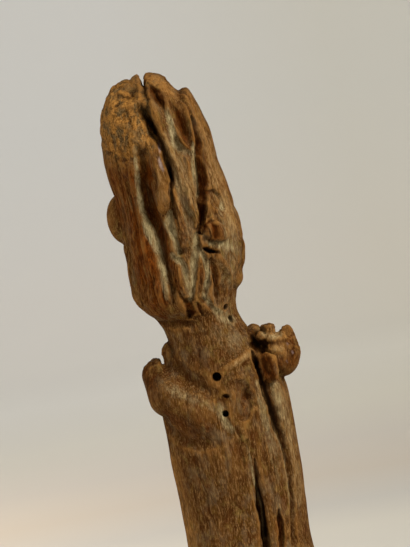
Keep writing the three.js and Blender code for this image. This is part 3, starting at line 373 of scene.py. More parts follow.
# Stains, wear and painted light and shade of the back, as it is seen: millimetres across, height, half width,
# strength.
# Pale dust in the furrows and on worn ridges, and painted highlights on lit walls of furrows, on the left
# shoulder's ridge and on the right stump's broken face:
DUST_AND_HIGHLIGHT = [
    [[-22, 391, 0.7, 0.7], [-22.4, 386, 1, 1], [-23, 380, 1.1, 1], [-23.6, 372, 1.1, 1],
     [-23.4, 365, 1.2, 1], [-22.8, 358, 1.5, 1], [-21.6, 352, 2.2, 1], [-19.8, 347, 2, 1],
     [-18.9, 341, 1.5, 0.85], [-18.3, 334, 1.6, 0.8], [-18.5, 326, 1.5, 0.7], [-19.2, 319, 1.2, 0.5]],
    [[-2.6, 411, 1, 0.8], [-2.2, 405, 1.3, 1], [-2, 399, 1.5, 1], [-1.6, 393.4, 1.7, 1],
     [1.6, 389.6, 1.3, 1], [4.2, 387.4, 1.1, 0.8]],
    [[7, 392, 0.8, 0.6], [6, 386, 1, 0.8], [5.5, 379, 1.1, 0.8], [5.1, 371.6, 1.1, 0.8],
     [4.9, 366, 0.9, 0.7]],
    [[-9.8, 360.6, 1, 0.7], [-11.6, 355.6, 2, 1], [-10.4, 350.4, 1.8, 1], [-10, 346, 1.4, 0.9],
     [-9.4, 341, 1.4, 0.8]],
    [[0.4, 347.6, 1.2, 0.8], [-0.6, 341.6, 1.6, 0.9], [-1.2, 337.6, 1.7, 0.9], [-2.8, 333.6, 1.6, 0.9],
     [-4.2, 328, 1.5, 0.85], [-5.8, 321, 1.4, 0.8], [-7.2, 316, 1.2, 0.7]],
    [[0.2, 341, 1, 0.7], [1.6, 338.4, 1.2, 0.85], [3.4, 332.6, 1.2, 0.85], [3.6, 327.4, 1.2, 0.85],
     [1.6, 321.6, 1.2, 0.85], [-0.4, 316, 1.2, 0.8], [2, 311.4, 1, 0.7], [4.6, 306.6, 1.8, 0.7],
     [7, 303.6, 2.6, 0.65], [12, 300.4, 1.8, 0.4]],
    [[-12.6, 339, 1.4, 0.7], [-10.6, 337.4, 1.6, 0.85], [-7.9, 333.4, 1.5, 0.8], [-7.2, 327, 1.3, 0.75],
     [-7.4, 320, 1.1, 0.6]],
    [[5.4, 342.6, 1, 0.6], [7.6, 341.4, 1.3, 0.7], [11.6, 340.4, 1.8, 0.8], [15.8, 338.8, 2, 0.8],
     [19.2, 335, 1.4, 0.5]],
    [[16.4, 359.4, 1.4, 0.7], [15.6, 357.4, 1.6, 0.8]],
    [[-14.6, 414, 1.6, 0.25], [-14.2, 410.6, 1.6, 0.35], [-12.8, 406, 1.2, 0.2]],
    # painted highlight along the ridge of the left shoulder
    [[-31.7, 277.4, 2.2, 0.2], [-22.6, 271.2, 3, 0.36], [-15.4, 267.6, 2.8, 0.32], [-8, 263, 2.4, 0.35],
     [-3.2, 260, 1.8, 0.5]],
    [[-2.6, 262, 1.2, 0.5], [-2.4, 257, 1.8, 0.8], [-1.2, 251.6, 1.8, 0.8], [1.4, 248, 1.6, 0.6]],
    [[26.4, 266, 2, 0.6], [27.4, 258, 2.6, 0.55], [28.2, 248, 2.8, 0.45], [29.6, 236, 2.4, 0.35],
     [30, 220, 2.4, 0.3], [28.6, 204, 2.4, 0.3]],
    [[18, 269, 1.4, 0.5], [18.6, 262, 1.8, 0.55], [18.8, 254, 2, 0.5], [19, 244, 2, 0.4], [20, 232, 2, 0.3],
     [19.6, 218, 2, 0.25]],
    [[4.6, 278.7, 1.2, 0.3], [9.4, 280.4, 1.4, 0.4], [16.6, 283.8, 1.4, 0.4]],
    [[7.2, 240, 0.5, 0.5], [8, 230, 0.5, 0.7], [8.1, 221, 0.6, 0.9], [8.8, 214, 0.6, 0.9],
     [9.6, 208, 0.6, 0.9], [8.8, 198, 0.6, 0.9], [8, 190, 0.6, 0.8]],
    [[20.6, 262, 0.5, 0.4], [22, 245, 0.5, 0.5], [23.4, 238, 0.5, 0.7], [25, 230.4, 0.5, 0.8],
     [24.6, 218, 0.5, 0.6], [23.4, 206, 0.5, 0.6]],
    [[16, 205, 0.5, 0.5], [18, 206.6, 0.6, 0.6], [19.6, 203, 0.5, 0.4]],
    # painted highlight on the lit arms and lump of the right stump's broken face
    [[24.6, 291.8, 1, 0.5], [28.6, 289.6, 1.4, 0.6], [33.6, 289.4, 1.4, 0.5]],
    [[29.6, 283.6, 1.6, 0.4], [33, 283, 1.6, 0.4]],
    [[-5, 398, 3, 0.3], [-2.6, 384, 4, 0.4], [-0.6, 370, 4.4, 0.4], [-1.6, 354, 4.4, 0.3],
     [-4, 340, 6, 0.15], [-2, 324, 8, 0.12]],
    [[12, 398, 3, 0.2], [14.6, 378, 3.4, 0.25], [17, 356, 3.4, 0.35], [18, 344, 4, 0.35],
     [12, 322, 6, 0.25]],
    [[-15, 398, 3, 0.15], [-12, 376, 3, 0.2]],
    [[-4, 300, 4, 0.15], [4, 296, 6, 0.25], [10, 289, 5, 0.25]],
    [[-21, 398, 1, 0.3], [-22, 392, 1, 0.6]],
]
# Painted shade, and darker wood: dark bottoms of furrows, shadowed places under rims, ledges, blocks and the
# shoulders, and darker patches of the crust and body:
DARK = [
    [[-15, 415, 1.6, 0.6], [-15.4, 410.6, 1.4, 0.6], [-12.4, 404.6, 1.6, 1], [-10, 399.6, 1.2, 1],
     [-7.6, 393, 1, 0.3], [-6.7, 386, 0.9, 0.4], [-6.3, 380.6, 0.9, 1], [-6.6, 375.4, 0.7, 0.8]],
    [[-13.6, 391, 0.6, 0.6], [-13.4, 384, 0.7, 0.7], [-13.9, 377, 0.7, 0.6], [-15.2, 369, 0.6, 0.5]],
    [[10.6, 397, 0.8, 0.5], [11, 389, 0.9, 0.6], [10.8, 380, 0.9, 0.6], [10, 372, 0.9, 0.6],
     [8, 364, 1.1, 0.8], [5.8, 357.4, 1.3, 1], [3.4, 351.4, 1.1, 1], [2, 347.4, 0.8, 0.8]],
    [[3.8, 339, 0.8, 1], [6, 338, 1.1, 1], [9, 336.8, 0.8, 1]],
    [[-6.2, 342, 1, 0.8], [-6.4, 340, 0.9, 0.9]],
    [[-0.8, 328, 0.7, 0.6], [-0.6, 323, 0.7, 0.6]],
    # painted shadow under the broken block
    [[4, 344.4, 0.8, 0.7], [9, 342.6, 1, 0.6], [14.6, 341.4, 1, 0.5]],
    [[-9, 310, 1.4, 0.9], [-9.4, 307.6, 1.4, 0.9]],
    # painted shadow under the rim of the head
    [[-24, 305.6, 1, 0.6], [-18, 304.4, 1.2, 0.7], [-11, 304.6, 1.2, 0.7]],
    [[-18.6, 413, 2, 0.4], [-21, 405, 1.8, 0.4], [-24, 399, 2, 0.3]],
    [[-12, 399.4, 1.4, 0.6], [-12.6, 394.6, 1.4, 0.4]],
    [[18.6, 283, 1.1, 1], [19.4, 276, 1.2, 1], [20.4, 269, 1.4, 1], [21.6, 261, 1.7, 1], [23, 252, 2, 1],
     [23.6, 245, 1.8, 1], [25, 238, 1.2, 1], [26, 230, 1, 0.8], [26, 219, 0.9, 0.6], [24.2, 202, 0.8, 0.6],
     [21.8, 187, 0.8, 0.6]],
    [[8.6, 226, 0.4, 0.7], [9.4, 216.5, 0.8, 1], [10.3, 209, 0.9, 1], [9.9, 200, 1, 1], [8.9, 191, 0.9, 1],
     [8.4, 182, 0.6, 0.8]],
    [[19.4, 294, 1.6, 1], [21.4, 290, 2.6, 1], [22, 284.6, 2.4, 1]],
    [[0.4, 265.6, 0.8, 1], [1.4, 264.2, 0.8, 1]],
    [[23.8, 280, 2.2, 1.2], [25.8, 270, 2.2, 1.1]],
    [[23, 287, 2.4, 0.9], [27.4, 286.6, 1.6, 0.8], [31, 286, 0.7, 0.7], [36, 286.6, 0.7, 0.6]],
    [[38.4, 284, 2, 0.6], [37.4, 276, 2.6, 0.6], [32, 273, 2, 0.5]],
    [[7.4, 348.6, 2.4, 0.5], [11, 346.8, 3, 0.6], [13, 344, 2, 0.5]],
    [[20, 287.4, 2, 1], [25.4, 286.2, 2.2, 1]],
    [[-23, 294, 3, 0.5], [-23.4, 286, 3, 0.6]],
    # painted shade on the left side of the left arm's stump
    [[-34, 288, 5, 0.7], [-34, 278, 5, 0.6], [-31, 266, 4, 0.5]],
    [[-18, 283, 4, 0.4], [-10, 275, 4, 0.4]],
    # painted shadow under the ridge of the left shoulder
    [[-28, 259, 3, 0.4], [-17, 251, 4, 0.5], [-8, 248, 3, 0.4]],
    [[-6, 296, 9, 0.35], [-6, 290, 8, 0.45], [-8, 282, 7, 0.45], [0, 272, 6, 0.3]],
    [[-8.4, 421, 1.4, 0.6], [-5.8, 417.6, 2.4, 0.8], [-4.2, 414, 1.6, 0.6]],
    [[-31, 256, 1.4, 0.4], [-26, 249.6, 1.8, 0.5], [-19, 244.4, 2, 0.4], [-8, 243, 1.6, 0.25]],
    [[-25.4, 281, 1.4, 0.3], [-15, 271.6, 1.6, 0.3]],
    [[-32, 346, 1.2, 0.4], [-34.4, 352, 1.2, 0.5], [-34.6, 366, 1.2, 0.5]],
]
# Orange wood, mostly in the walls of furrows, and there also painted warm shade on the walls that face away
# from the light:
RED = [
    [[-26, 388, 3.6, 0.8], [-27, 372, 4, 0.8], [-27, 356, 4.4, 0.9], [-26, 342, 4.8, 1.1],
     [-26.4, 328, 5, 1.2], [-24, 316, 4.4, 1.1]],
    [[-17.6, 392, 2.4, 0.7], [-17, 384, 3, 0.9], [-18.2, 374, 3, 0.9], [-18.8, 365, 2.8, 0.9],
     [-17.6, 357, 2.4, 0.9], [-15, 348, 1.8, 0.9], [-14.2, 338, 1.6, 0.8], [-13, 330, 1.6, 0.8],
     [-11.8, 322, 1.4, 0.7]],
    [[2.4, 408, 1.4, 0.8], [3.3, 401, 1.8, 0.9], [4, 394, 1.4, 0.8]],
    [[9.8, 400, 1.6, 0.7], [10, 391, 2, 0.9], [9.6, 382, 2.2, 0.9], [8.8, 373, 2.2, 0.9],
     [7, 362, 1.8, 0.9], [4, 353.6, 1.4, 0.9]],
    [[6.4, 351, 2.4, 0.9], [10, 347.6, 3.4, 1], [12.6, 344, 2.4, 0.8]],
    [[0.1, 330, 1.2, 0.9], [0.6, 326, 1.4, 1], [-0.4, 321.6, 1.1, 0.8]],
    [[-5.4, 370, 1, 0.4], [-4.6, 360, 1.3, 0.5], [-4.8, 350, 1.5, 0.6], [-5.4, 343, 1.3, 0.8]],
    [[6.4, 330, 1.6, 0.6], [6.9, 324, 2, 0.7], [6.5, 316, 1.8, 0.6]],
    [[-8, 421, 1.8, 0.7], [-6, 418, 2.4, 0.8], [-4.6, 414.6, 1.8, 0.7]],
    [[9, 267, 2, 0.4], [11, 261.6, 2.6, 0.6], [11, 257, 2.2, 0.5], [8, 253.6, 1.6, 0.4]],
    [[-13, 254, 2.4, 0.4], [-10, 252, 2.6, 0.7]],
    [[-30, 262, 2.4, 0.4], [-24, 256, 3, 0.5], [-16, 250, 3, 0.5]],
    [[38.4, 286, 2, 0.6], [37, 276, 3.4, 0.8], [31.6, 275, 2.6, 0.8]],
    [[23.6, 280, 2.6, 1], [25.6, 269, 2.8, 1]],
    [[-33, 398, 3.4, 0.6], [-33, 380, 4, 0.8], [-33, 360, 4, 0.7]],
    [[-36, 282, 3, 0.6], [-34, 270, 3, 0.5]],
    [[17.2, 200, 1.4, 0.9], [15.6, 190, 1.5, 0.9], [14.6, 182, 1.2, 0.8]],
    [[-8.6, 313, 1.8, 0.9], [-8, 309.4, 1.8, 0.9]],
    [[-29, 313, 2, 0.7], [-22, 309, 2, 0.7]],
]
# Pale bare wood on ridges and edges, and painted highlights on lit places: the right side of the head, the
# right stump, the splinter's rim, the broken block's rims and the left edge of the body:
TAN_AND_HIGHLIGHT = [
    # painted highlight on the lit right side of the head
    [[9, 414, 2.4, 0.4], [12.6, 402, 2, 0.55], [14, 387, 2.6, 0.6], [16, 372, 3, 0.6], [18, 357, 2.6, 0.65],
     [20, 346, 2.4, 0.5]],
    [[-8.6, 428, 1.8, 0.9], [-5, 425, 2.2, 1], [-1, 421, 2, 0.9], [3, 416, 2, 0.5]],
    [[-7.1, 376, 0.7, 0.8], [-5.8, 368, 0.8, 0.9], [-4, 358.6, 0.7, 0.7]],
    [[3.6, 278.6, 1.4, 0.5], [9.4, 280.6, 1.8, 0.7], [16.4, 284, 1.6, 0.8], [18.6, 280, 0.8, 0.7]],
    [[-5, 392, 1.6, 0.5], [-3.4, 384, 1.8, 0.6], [-2, 376, 1.8, 0.6], [-1.6, 368, 1.6, 0.5]],
    [[2.4, 382, 1.6, 0.6], [1.8, 372, 1.8, 0.7], [1.8, 362, 1.8, 0.6]],
    [[-11.4, 386, 1.8, 0.5], [-11.2, 374, 2.2, 0.5], [-12, 366, 2, 0.4]],
    [[-10.6, 415, 0.7, 0.5], [-9.2, 408, 0.8, 0.6], [-6.8, 399, 0.9, 0.7], [-4.2, 391, 0.9, 0.7],
     [-2.4, 384, 0.8, 0.6]],
    # painted highlight on the lit face and lump of the right stump
    [[23, 291.6, 1.6, 0.8], [27.6, 290.6, 2.2, 1], [31.6, 288.6, 2.2, 1], [35, 289, 2, 0.9]],
    [[28.6, 283, 2, 0.8], [32, 283.2, 2.6, 1], [35.4, 283, 1.6, 0.7]],
    # painted highlight along the splinter's rim
    [[20.6, 281.4, 0.6, 0.8], [22.4, 283.4, 0.8, 0.9], [26, 283, 0.8, 0.9], [28.6, 281, 0.7, 0.8],
     [29.4, 276, 0.5, 0.7], [29.2, 270, 0.5, 0.6]],
    [[37.4, 292, 1, 0.6], [38, 289, 1.2, 0.5]],
    [[-21, 423, 1.6, 0.5], [-17, 427, 1.6, 0.6], [-24, 419.4, 1.4, 0.5]],
    [[-17, 408, 2.4, 0.6], [-19, 400.6, 2.6, 0.7]],
    # painted light along the left edge of the body
    [[-33, 236, 5, 0.6], [-31, 200, 6, 0.7], [-31, 186, 6, 0.7]],
    [[29.5, 262, 2.4, 0.3], [30, 235, 3, 0.35], [29.6, 205, 3, 0.35]],
    # painted highlight along the rims of the broken block
    [[3.8, 351.4, 0.6, 0.9], [7.2, 353.2, 0.6, 1], [10.2, 354.4, 0.6, 1], [13, 351.6, 0.5, 0.6]],
    [[8.4, 367, 0.5, 0.7], [10, 359.6, 0.5, 0.6]],
    [[12.4, 360, 0.5, 0.7], [11.4, 356.4, 0.5, 0.6]],
]
# The crumbly crust of the crown:
CRUST = [
    [[-31, 421, 4, 0.6], [-33, 410, 5, 0.8], [-34, 399, 5, 0.6]],
    [[-27, 425, 8, 0.8], [-26, 412, 11, 1], [-26, 400, 11, 1], [-24, 393, 6, 0.6]],
    [[-17, 416, 6, 0.9], [-15, 402, 5, 1], [-14, 395, 3, 0.7]],
]
# Bottoms that no light reaches:
GLOOM = [
    [[-12, 404.4, 1.2, 0.7], [-10, 400.2, 0.9, 1]],
    [[-6.4, 380.4, 0.6, 1], [-6.5, 376.6, 0.6, 1]],
    [[18.8, 282, 0.9, 1], [19.6, 275, 1, 1], [20.8, 267, 1.2, 1], [22.8, 253, 1.8, 1], [23.4, 246, 1.5, 1],
     [24.6, 239.6, 0.9, 0.9]],
    [[19.6, 291, 1.4, 1], [21.6, 286, 1.8, 1]],
    [[9.5, 216.5, 0.6, 0.9], [10.3, 208, 0.7, 1], [9.9, 200, 0.8, 1], [8.9, 192, 0.7, 1]],
    [[4.2, 338.8, 0.7, 1], [8.4, 337, 0.7, 1]],
    [[5.6, 356.6, 0.9, 0.4], [3.2, 351, 0.8, 0.6]],
]
# Splintered breaks:
BROKEN = [
    [[24, 292, 5, 0.8], [32, 290, 6, 1], [38, 284, 6, 1]],
    [[24, 281, 2.5, 0.8], [27, 270, 3, 0.8]],
    [[-33, 287, 4, 0.8], [-27, 289, 3, 0.6]],
    [[11.6, 268, 3, 0.6], [11.4, 260, 4, 1], [8.4, 255, 3, 0.6]],
    [[-22, 424, 5, 0.7], [-14, 424, 5, 0.8], [-4, 424, 5, 0.6]],
]
# Small painted glints, on places that are also made glossier, as polished wood:
POLISH_AND_GLINT = [
    [[-9.6, 396, 0.4, 0.3], [-9.5, 392.6, 0.5, 0.7], [-9.7, 390.4, 0.4, 0.4]],
    [[36.2, 284.8, 0.4, 0.5], [36.6, 283.6, 0.3, 0.4]],
    [[38, 280.4, 0.4, 0.5], [38.3, 279, 0.3, 0.4]],
    [[34.4, 276.4, 0.4, 0.4], [34.8, 275.2, 0.3, 0.3]],
    [[-10.8, 388, 0.5, 0.6], [-10.4, 384, 0.7, 0.8], [-9.6, 381, 0.5, 0.5]],
]
STAINS = {"dust_and_highlight": DUST_AND_HIGHLIGHT, "dark": DARK, "red": RED, "tan_and_highlight": TAN_AND_HIGHLIGHT, "crust": CRUST, "polish_and_glint": POLISH_AND_GLINT}
STAIN_WIDENING = 1.6
STAIN_FRONT = 8  # stains end this far in front of the log's middle
STAIN_FADE = 12
# Painted shade: furrows darken with their depth, and the bottoms that no light reaches as if they were this
# deep
GLOOM_DEPTH = 16  # a bottom that no light reaches is as dark as a furrow of this depth
DEEP_REACH = 35  # further than this from the axis, a furrow's depth leaves the wood as light as it is
HOLLOW_ROUNDS = 12  # rounds of smoothing that give the surroundings which a hollow lies below

# Furrows are drawn on the surface unrolled, and stains on the back as it is seen
SLOPE_STEP = 1.5
ROUND = 2 * math.pi * GIRTH_RADIUS
SHEET_LOW = -8
SHEET_HIGH = HEIGHT + 12
FURROW_STEP = 0.25
STAIN_STEP = 0.5
STAIN_REACH = 50

# Spacing of the mesh across the grain and along it, before flat stretches are thinned
ACROSS = 0.62
ALONG = 1.0
REACH = 47
HEADROOM = 4
TRIANGLES = 190000

# How the mesh is brought on to the exact surface
SETTLING_STEPS = 2
NUDGE = 0.05
LONGEST_MOVE = 0.3
LEAST_STEEPNESS = 0.2


def curve_at(rows, column, z):
    """Value of a table's column at heights z, on a smooth curve through its rows."""
    rows = np.array(rows, float)
    last = len(rows) - 1
    i = np.clip(np.searchsorted(rows[1:, 0], z), 0, last - 1)
    a, b = rows[i], rows[i + 1]
    before, after = rows[np.maximum(i - 1, 0)], rows[np.minimum(i + 2, last)]
    span = b[..., 0] - a[..., 0]
    t = np.clip((z - a[..., 0]) / span, 0, 1)
    slope_a = (b[..., column] - before[..., column]) / (b[..., 0] - before[..., 0]) * span
    slope_b = (after[..., column] - a[..., column]) / (after[..., 0] - a[..., 0]) * span
    t2, t3 = t * t, t * t * t
    return (
        (2 * t3 - 3 * t2 + 1) * a[..., column]
        + (t3 - 2 * t2 + t) * slope_a
        + (3 * t2 - 2 * t3) * b[..., column]
        + (t3 - t2) * slope_b
    )


TABLE_HEIGHTS = np.arange(SHEET_LOW - 4, SHEET_HIGH + 8, 0.5)
EDGES = [curve_at(SECTIONS, column, TABLE_HEIGHTS) for column in (1, 2, 3, 4)]


def section_at(z):
    """Centre, half width and half depth of the log at heights z."""
    left, right, back, front = (np.interp(z, TABLE_HEIGHTS, edge) for edge in EDGES)
    return (left + right) / 2, (back + front) / 2, (right - left) / 2, (front - back) / 2


def girth_behind(x, z):
    """Millimetres round from the middle of the back, of a place seen from behind."""
    centre, _, half_width, _ = section_at(z)
    return math.asin(max(-1, min(1, (x - centre) / half_width))) * GIRTH_RADIUS


class Sheet:
    """Values over a surface laid flat: across it from middle to edge, and up it."""

    def __init__(self, half_width, step, wraps=False):
        self.step = step
        self.wraps = wraps
        self.columns = round(2 * half_width / step)
        self.rows = round((SHEET_HIGH - SHEET_LOW) / step)
        self.values = np.zeros((self.rows, self.columns))

    def places(self):
        across = (np.arange(self.columns) - self.columns // 2) * self.step
        return np.meshgrid(across, np.arange(self.rows) * self.step + SHEET_LOW)

    def draw(self, path, lip=0, power=SOFT, mix=np.add):
        """Draws a path of place across, height, half width and amount."""
        path = np.array(path, float)
        widest = path[:, 2].max()
        low = np.floor((path[:, :2].min(axis=0) - widest) / self.step).astype(int)
        high = np.ceil((path[:, :2].max(axis=0) + widest) / self.step).astype(int)
        u, z = np.meshgrid(np.arange(low[0], high[0] + 1), np.arange(low[1], high[1] + 1))
        rows = z[:, 0] - round(SHEET_LOW / self.step)
        columns = u[0] + self.columns // 2
        u, z = u * self.step, z * self.step
        nearest = np.ones(u.shape)
        amount = np.zeros(u.shape)
        for a, b in zip(path, path[1:]):
            ux, uz = b[:2] - a[:2]
            px, pz = u - a[0], z - a[1]
            t = np.clip((px * ux + pz * uz) / (ux * ux + uz * uz), 0, 1)
            gap = np.maximum(np.hypot(px - ux * t, pz - uz * t), 1e-6)
            share = gap / (a[2] + (b[2] - a[2]) * t)
            side = (pz * ux - px * uz) / math.hypot(ux, uz) / gap
            deepest = lip * np.abs(side)
            place = np.where(side < 0, -share, share)
            off = place - deepest
            wall = np.where(off < 0, -off / (1 + deepest), off / (1 - deepest))
            here = (a[3] + (b[3] - a[3]) * t) * np.clip(1 - wall**2, 0, 1) ** power
            closer = share < nearest
            amount[closer] = here[closer]
            nearest[closer] = share[closer]
        kept = (rows >= 0) & (rows < self.rows)
        if self.wraps:
            columns = columns % self.columns
            across = np.ones(len(columns), bool)
        else:
            across = (columns >= 0) & (columns < self.columns)
        spot = np.ix_(rows[kept], columns[across])
        self.values[spot] = mix(self.values[spot], amount[np.ix_(kept, across)])

    def at(self, u, z):
        """Values at places across and heights."""
        column = u / self.step + self.columns // 2
        column = column % self.columns if self.wraps else np.clip(column, 0, self.columns - 1.001)
        row = np.clip((z - SHEET_LOW) / self.step, 0, self.rows - 1.001)
        c, r = np.floor(column).astype(int), np.floor(row).astype(int)
        fc, fr = column - c, row - r
        c, c1 = c % self.columns, (c + 1) % self.columns
        low = self.values[r, c] * (1 - fc) + self.values[r, c1] * fc
        high = self.values[r + 1, c] * (1 - fc) + self.values[r + 1, c1] * fc
        return low * (1 - fr) + high * fr


def unrolled():
    return Sheet(ROUND / 2, FURROW_STEP, wraps=True)


def on_back(path):
    return [[girth_behind(x, z), z, *rest] for x, z, *rest in path]


def by_degrees(path):
    return [[math.radians(degrees) * GIRTH_RADIUS, z, *rest] for degrees, z, *rest in path]


def ease(t):
    return t * t * (3 - 2 * t)


def streaks(width, length, seed):
    """Smooth noise from -1 to 1 over the whole unrolled surface, in streaks along the grain."""
    sheet = unrolled()
    columns = round(ROUND / width)
    rows = math.ceil(sheet.rows * sheet.step / length) + 2
    knots = np.random.default_rng(seed).uniform(-1, 1, (rows, columns))
    place = np.arange(sheet.columns) * columns / sheet.columns
    c = place.astype(int)
    fc = ease(place - c)
    spread = knots[:, c] * (1 - fc) + knots[:, (c + 1) % columns] * fc
    place = np.arange(sheet.rows) * sheet.step / length
    r = place.astype(int)
    fr = ease(place - r)[:, None]
    sheet.values = spread[r] * (1 - fr) + spread[r + 1] * fr
    return sheet


def waves(rows):
    """Streaks of several sizes together: width, length, seed and height of each."""
    return sum(streaks(width, length, seed).values * height for width, length, seed, height in rows)


def wandering_cracks(count, lowest, deepest, seed):
    """Fine drying cracks along the grain, as paths on the unrolled surface."""
    rng = np.random.default_rng(seed)
    for _ in range(count):
        girth = rng.uniform(-ROUND / 2, ROUND / 2)
        middle = rng.uniform(lowest, HEIGHT)
        length = rng.uniform(*CRACK_LENGTH)
        width = rng.uniform(*CRACK_WIDTH)
        depth = rng.uniform(CRACK_LEAST_DEPTH, deepest)
        path = []
        for i, drift in enumerate(np.cumsum(rng.normal(0, CRACK_DRIFT, CRACK_POINTS))):
            along = i / (CRACK_POINTS - 1) - 0.5
            share = (i + 0.5) / CRACK_POINTS
            path.append([girth + drift, middle + length * along, width, depth * math.sin(math.pi * share)])
        yield path


def split_path(degrees, middle, length, width):
    """A drying split, widest below its middle, which narrows to both ends."""
    return by_degrees([
        [degrees, middle + length / 2, *SPLIT_TIP],
        [degrees, middle - length / 6, width / 2, SPLIT_DEPTH],
        [degrees, middle - length / 2, *SPLIT_TIP],
    ])


def carve():
    """Depth taken off the log, and how much of it is a crack, over the unrolled surface."""
    worked = unrolled()
    for lip, power, path in BACK_RUNS:
        worked.draw(on_back(path), lip, power)
    for lip, power, path in ROUND_RUNS:
        worked.draw(by_degrees(path), lip, power)
    for path in VEINS:
        worked.draw(on_back(path))
    for path in CLEFTS:
        worked.draw(on_back(path), power=CRISP)
    for split in SPLITS:
        worked.draw(split_path(*split))
    girth, z = worked.places()
    worked.values = worked.at(girth + waves(WANDER_ACROSS), z + waves(WANDER_ALONG))
    cracks = unrolled()
    for group in CRACKS:
        for path in wandering_cracks(*group):
            cracks.draw(path, mix=np.maximum)
    bent = girth + waves(BEND)
    for width, length, seed, height in GRAIN:
        worked.values += streaks(width, length, seed).at(bent, z) * height
    on_head = ease(np.clip((z - CRUMBLING_FROM) / CRUMBLING_RISE, 0, 1))
    worked.values += cracks.values + waves(CRUMBLING) * on_head
    return worked, cracks


def join(a, b, soften):
    """Smooth union of two signed distances."""
    h = np.maximum(soften - np.abs(a - b), 0) / soften
    return np.minimum(a, b) - h * h * soften / 4


def ellipsoid(x, y, z, centre, radii):
    u, v, w = (x - centre[0]) / radii[0], (y - centre[1]) / radii[1], (z - centre[2]) / radii[2]
    k0 = np.sqrt(u * u + v * v + w * w)
    k1 = np.sqrt((u / radii[0]) ** 2 + (v / radii[1]) ** 2 + (w / radii[2]) ** 2)
    return k0 * (k0 - 1) / np.maximum(k1, 1e-9)


def tapered_limb(x, y, z, start, end, radii):
    axis = [b - a for a, b in zip(start, end)]
    off = [x - start[0], y - start[1], z - start[2]]
    t = np.clip(sum(o * a for o, a in zip(off, axis)) / sum(a * a for a in axis), 0, 1)
    gap = np.sqrt(sum((o - a * t) ** 2 for o, a in zip(off, axis)))
    return gap - (radii[0] + (radii[1] - radii[0]) * t)


def around(x, y, z):
    """Millimetres round from the middle of the back, of points in space."""
    centre_x, centre_y, half_width, half_depth = section_at(z)
    return np.arctan2((x - centre_x) / half_width, -(y - centre_y) / half_depth) * GIRTH_RADIUS


def trunk(x, y, z, depth):
    """Signed distance to the log without its crown, and the depth carved off the crown."""
    centre_x, centre_y, half_width, half_depth = section_at(z)
    u, v = (x - centre_x) / half_width, (y - centre_y) / half_depth
    share = np.maximum(np.hypot(u, v), 1e-6)
    out = np.hypot(x - centre_x, y - centre_y)
    surface = out / share
    _, _, lower_width, lower_depth = section_at(z - SLOPE_STEP)
    _, _, upper_width, upper_depth = section_at(z + SLOPE_STEP)
    widening = np.abs(u) * (upper_width - lower_width) + np.abs(v) * (upper_depth - lower_depth)
    slope = widening / (2 * SLOPE_STEP * share)
    carved = depth.at(np.arctan2(u, -v) * GIRTH_RADIUS, z)
    start, full = CROWN_CARVED
    fade = ease(np.clip((share - start) / (full - start), 0, 1))
    return (out - surface + carved) / np.hypot(1, slope), carved * fade


CROWN_PLACES = np.arange(CROWN[0][0], CROWN[-1][0], 0.5)
CROWN_HEIGHTS = curve_at(CROWN, 1, CROWN_PLACES)


def crown_top(x, y, z, carved):
    """Signed distance to the crown's outline, which falls away to front and back."""
    away = np.abs(y - CROWN_FALL["line"])
    fall = CROWN_FALL["drop"] * (away / CROWN_FALL["reach"]) ** CROWN_FALL["power"]
    steps = (-SLOPE_STEP, 0, SLOPE_STEP)
    left, height, right = (np.interp(x + step, CROWN_PLACES, CROWN_HEIGHTS) for step in steps)
    steepness = np.hypot((right - left) / (2 * SLOPE_STEP), CROWN_FALL["power"] * fall / np.maximum(away, 1))
    return (z - height + fall + carved) / np.hypot(1, steepness)


def base(x, y, z):
    lobes = BASE["wander"] * np.sin(3 * np.arctan2(y, x))
    side = np.hypot(x, y - BASE["centre_y"]) - BASE["radius"] - lobes
    top = z - BASE["height"] + BASE["tilt"] * np.sin(x / (BASE["radius"] / 2))
    return np.maximum(-join(-side, -top, BASE["rounding"]), -z)


def boring_line(degrees, height):
    """The mouth of a bored hole and the way out of the log there."""
    centre_x, centre_y, half_width, half_depth = section_at(height)
    angle = math.radians(degrees)
    mouth = Vector((centre_x + half_width * math.sin(angle), centre_y - half_depth * math.cos(angle), height))
    return mouth, Vector((math.sin(angle) / half_width, -math.cos(angle) / half_depth, 0)).normalized()


def figure_field(x, y, z, depth):
    """Signed distance to the whole figure, under 0 inside the wood."""
    log, carved = trunk(x, y, z, depth)
    d = -join(-log, z - CROTCH, CROTCH_ROUNDING)
    d = -join(-d, -crown_top(x, y, z, carved), CROWN_ROUNDING)
    for centre, radii, soften in SWELLINGS:
        d = join(d, ellipsoid(x, y, z, centre, radii), soften)
    for start, end, radii, soften in LIMBS:
        d = join(d, tapered_limb(x, y, z, start, end, radii), soften)
    for start, end, radii, soften in HOLLOWS:
        d = -join(-d, tapered_limb(x, y, z, start, end, radii), soften)
    for start, end, radii, soften in LEG:
        d = join(d, tapered_limb(np.abs(x), y, z, start, end, radii), soften)
    d = join(d, base(x, y, z), BASE_JOIN)
    for degrees, height, radius in BORINGS:
        mouth, out = boring_line(degrees, height)
        hole = tapered_limb(x, y, z, mouth - out * BORING_DEPTH, mouth + out * 2, [radius, radius])
        d = np.maximum(d, -hole)
    return d


CORNERS = [(i, j, k) for k in (0, 1) for j in (0, 1) for i in (0, 1)]
CELL_EDGES = [(a, b) for a in range(8) for b in range(a + 1, 8) if bin(a ^ b).count("1") == 1]


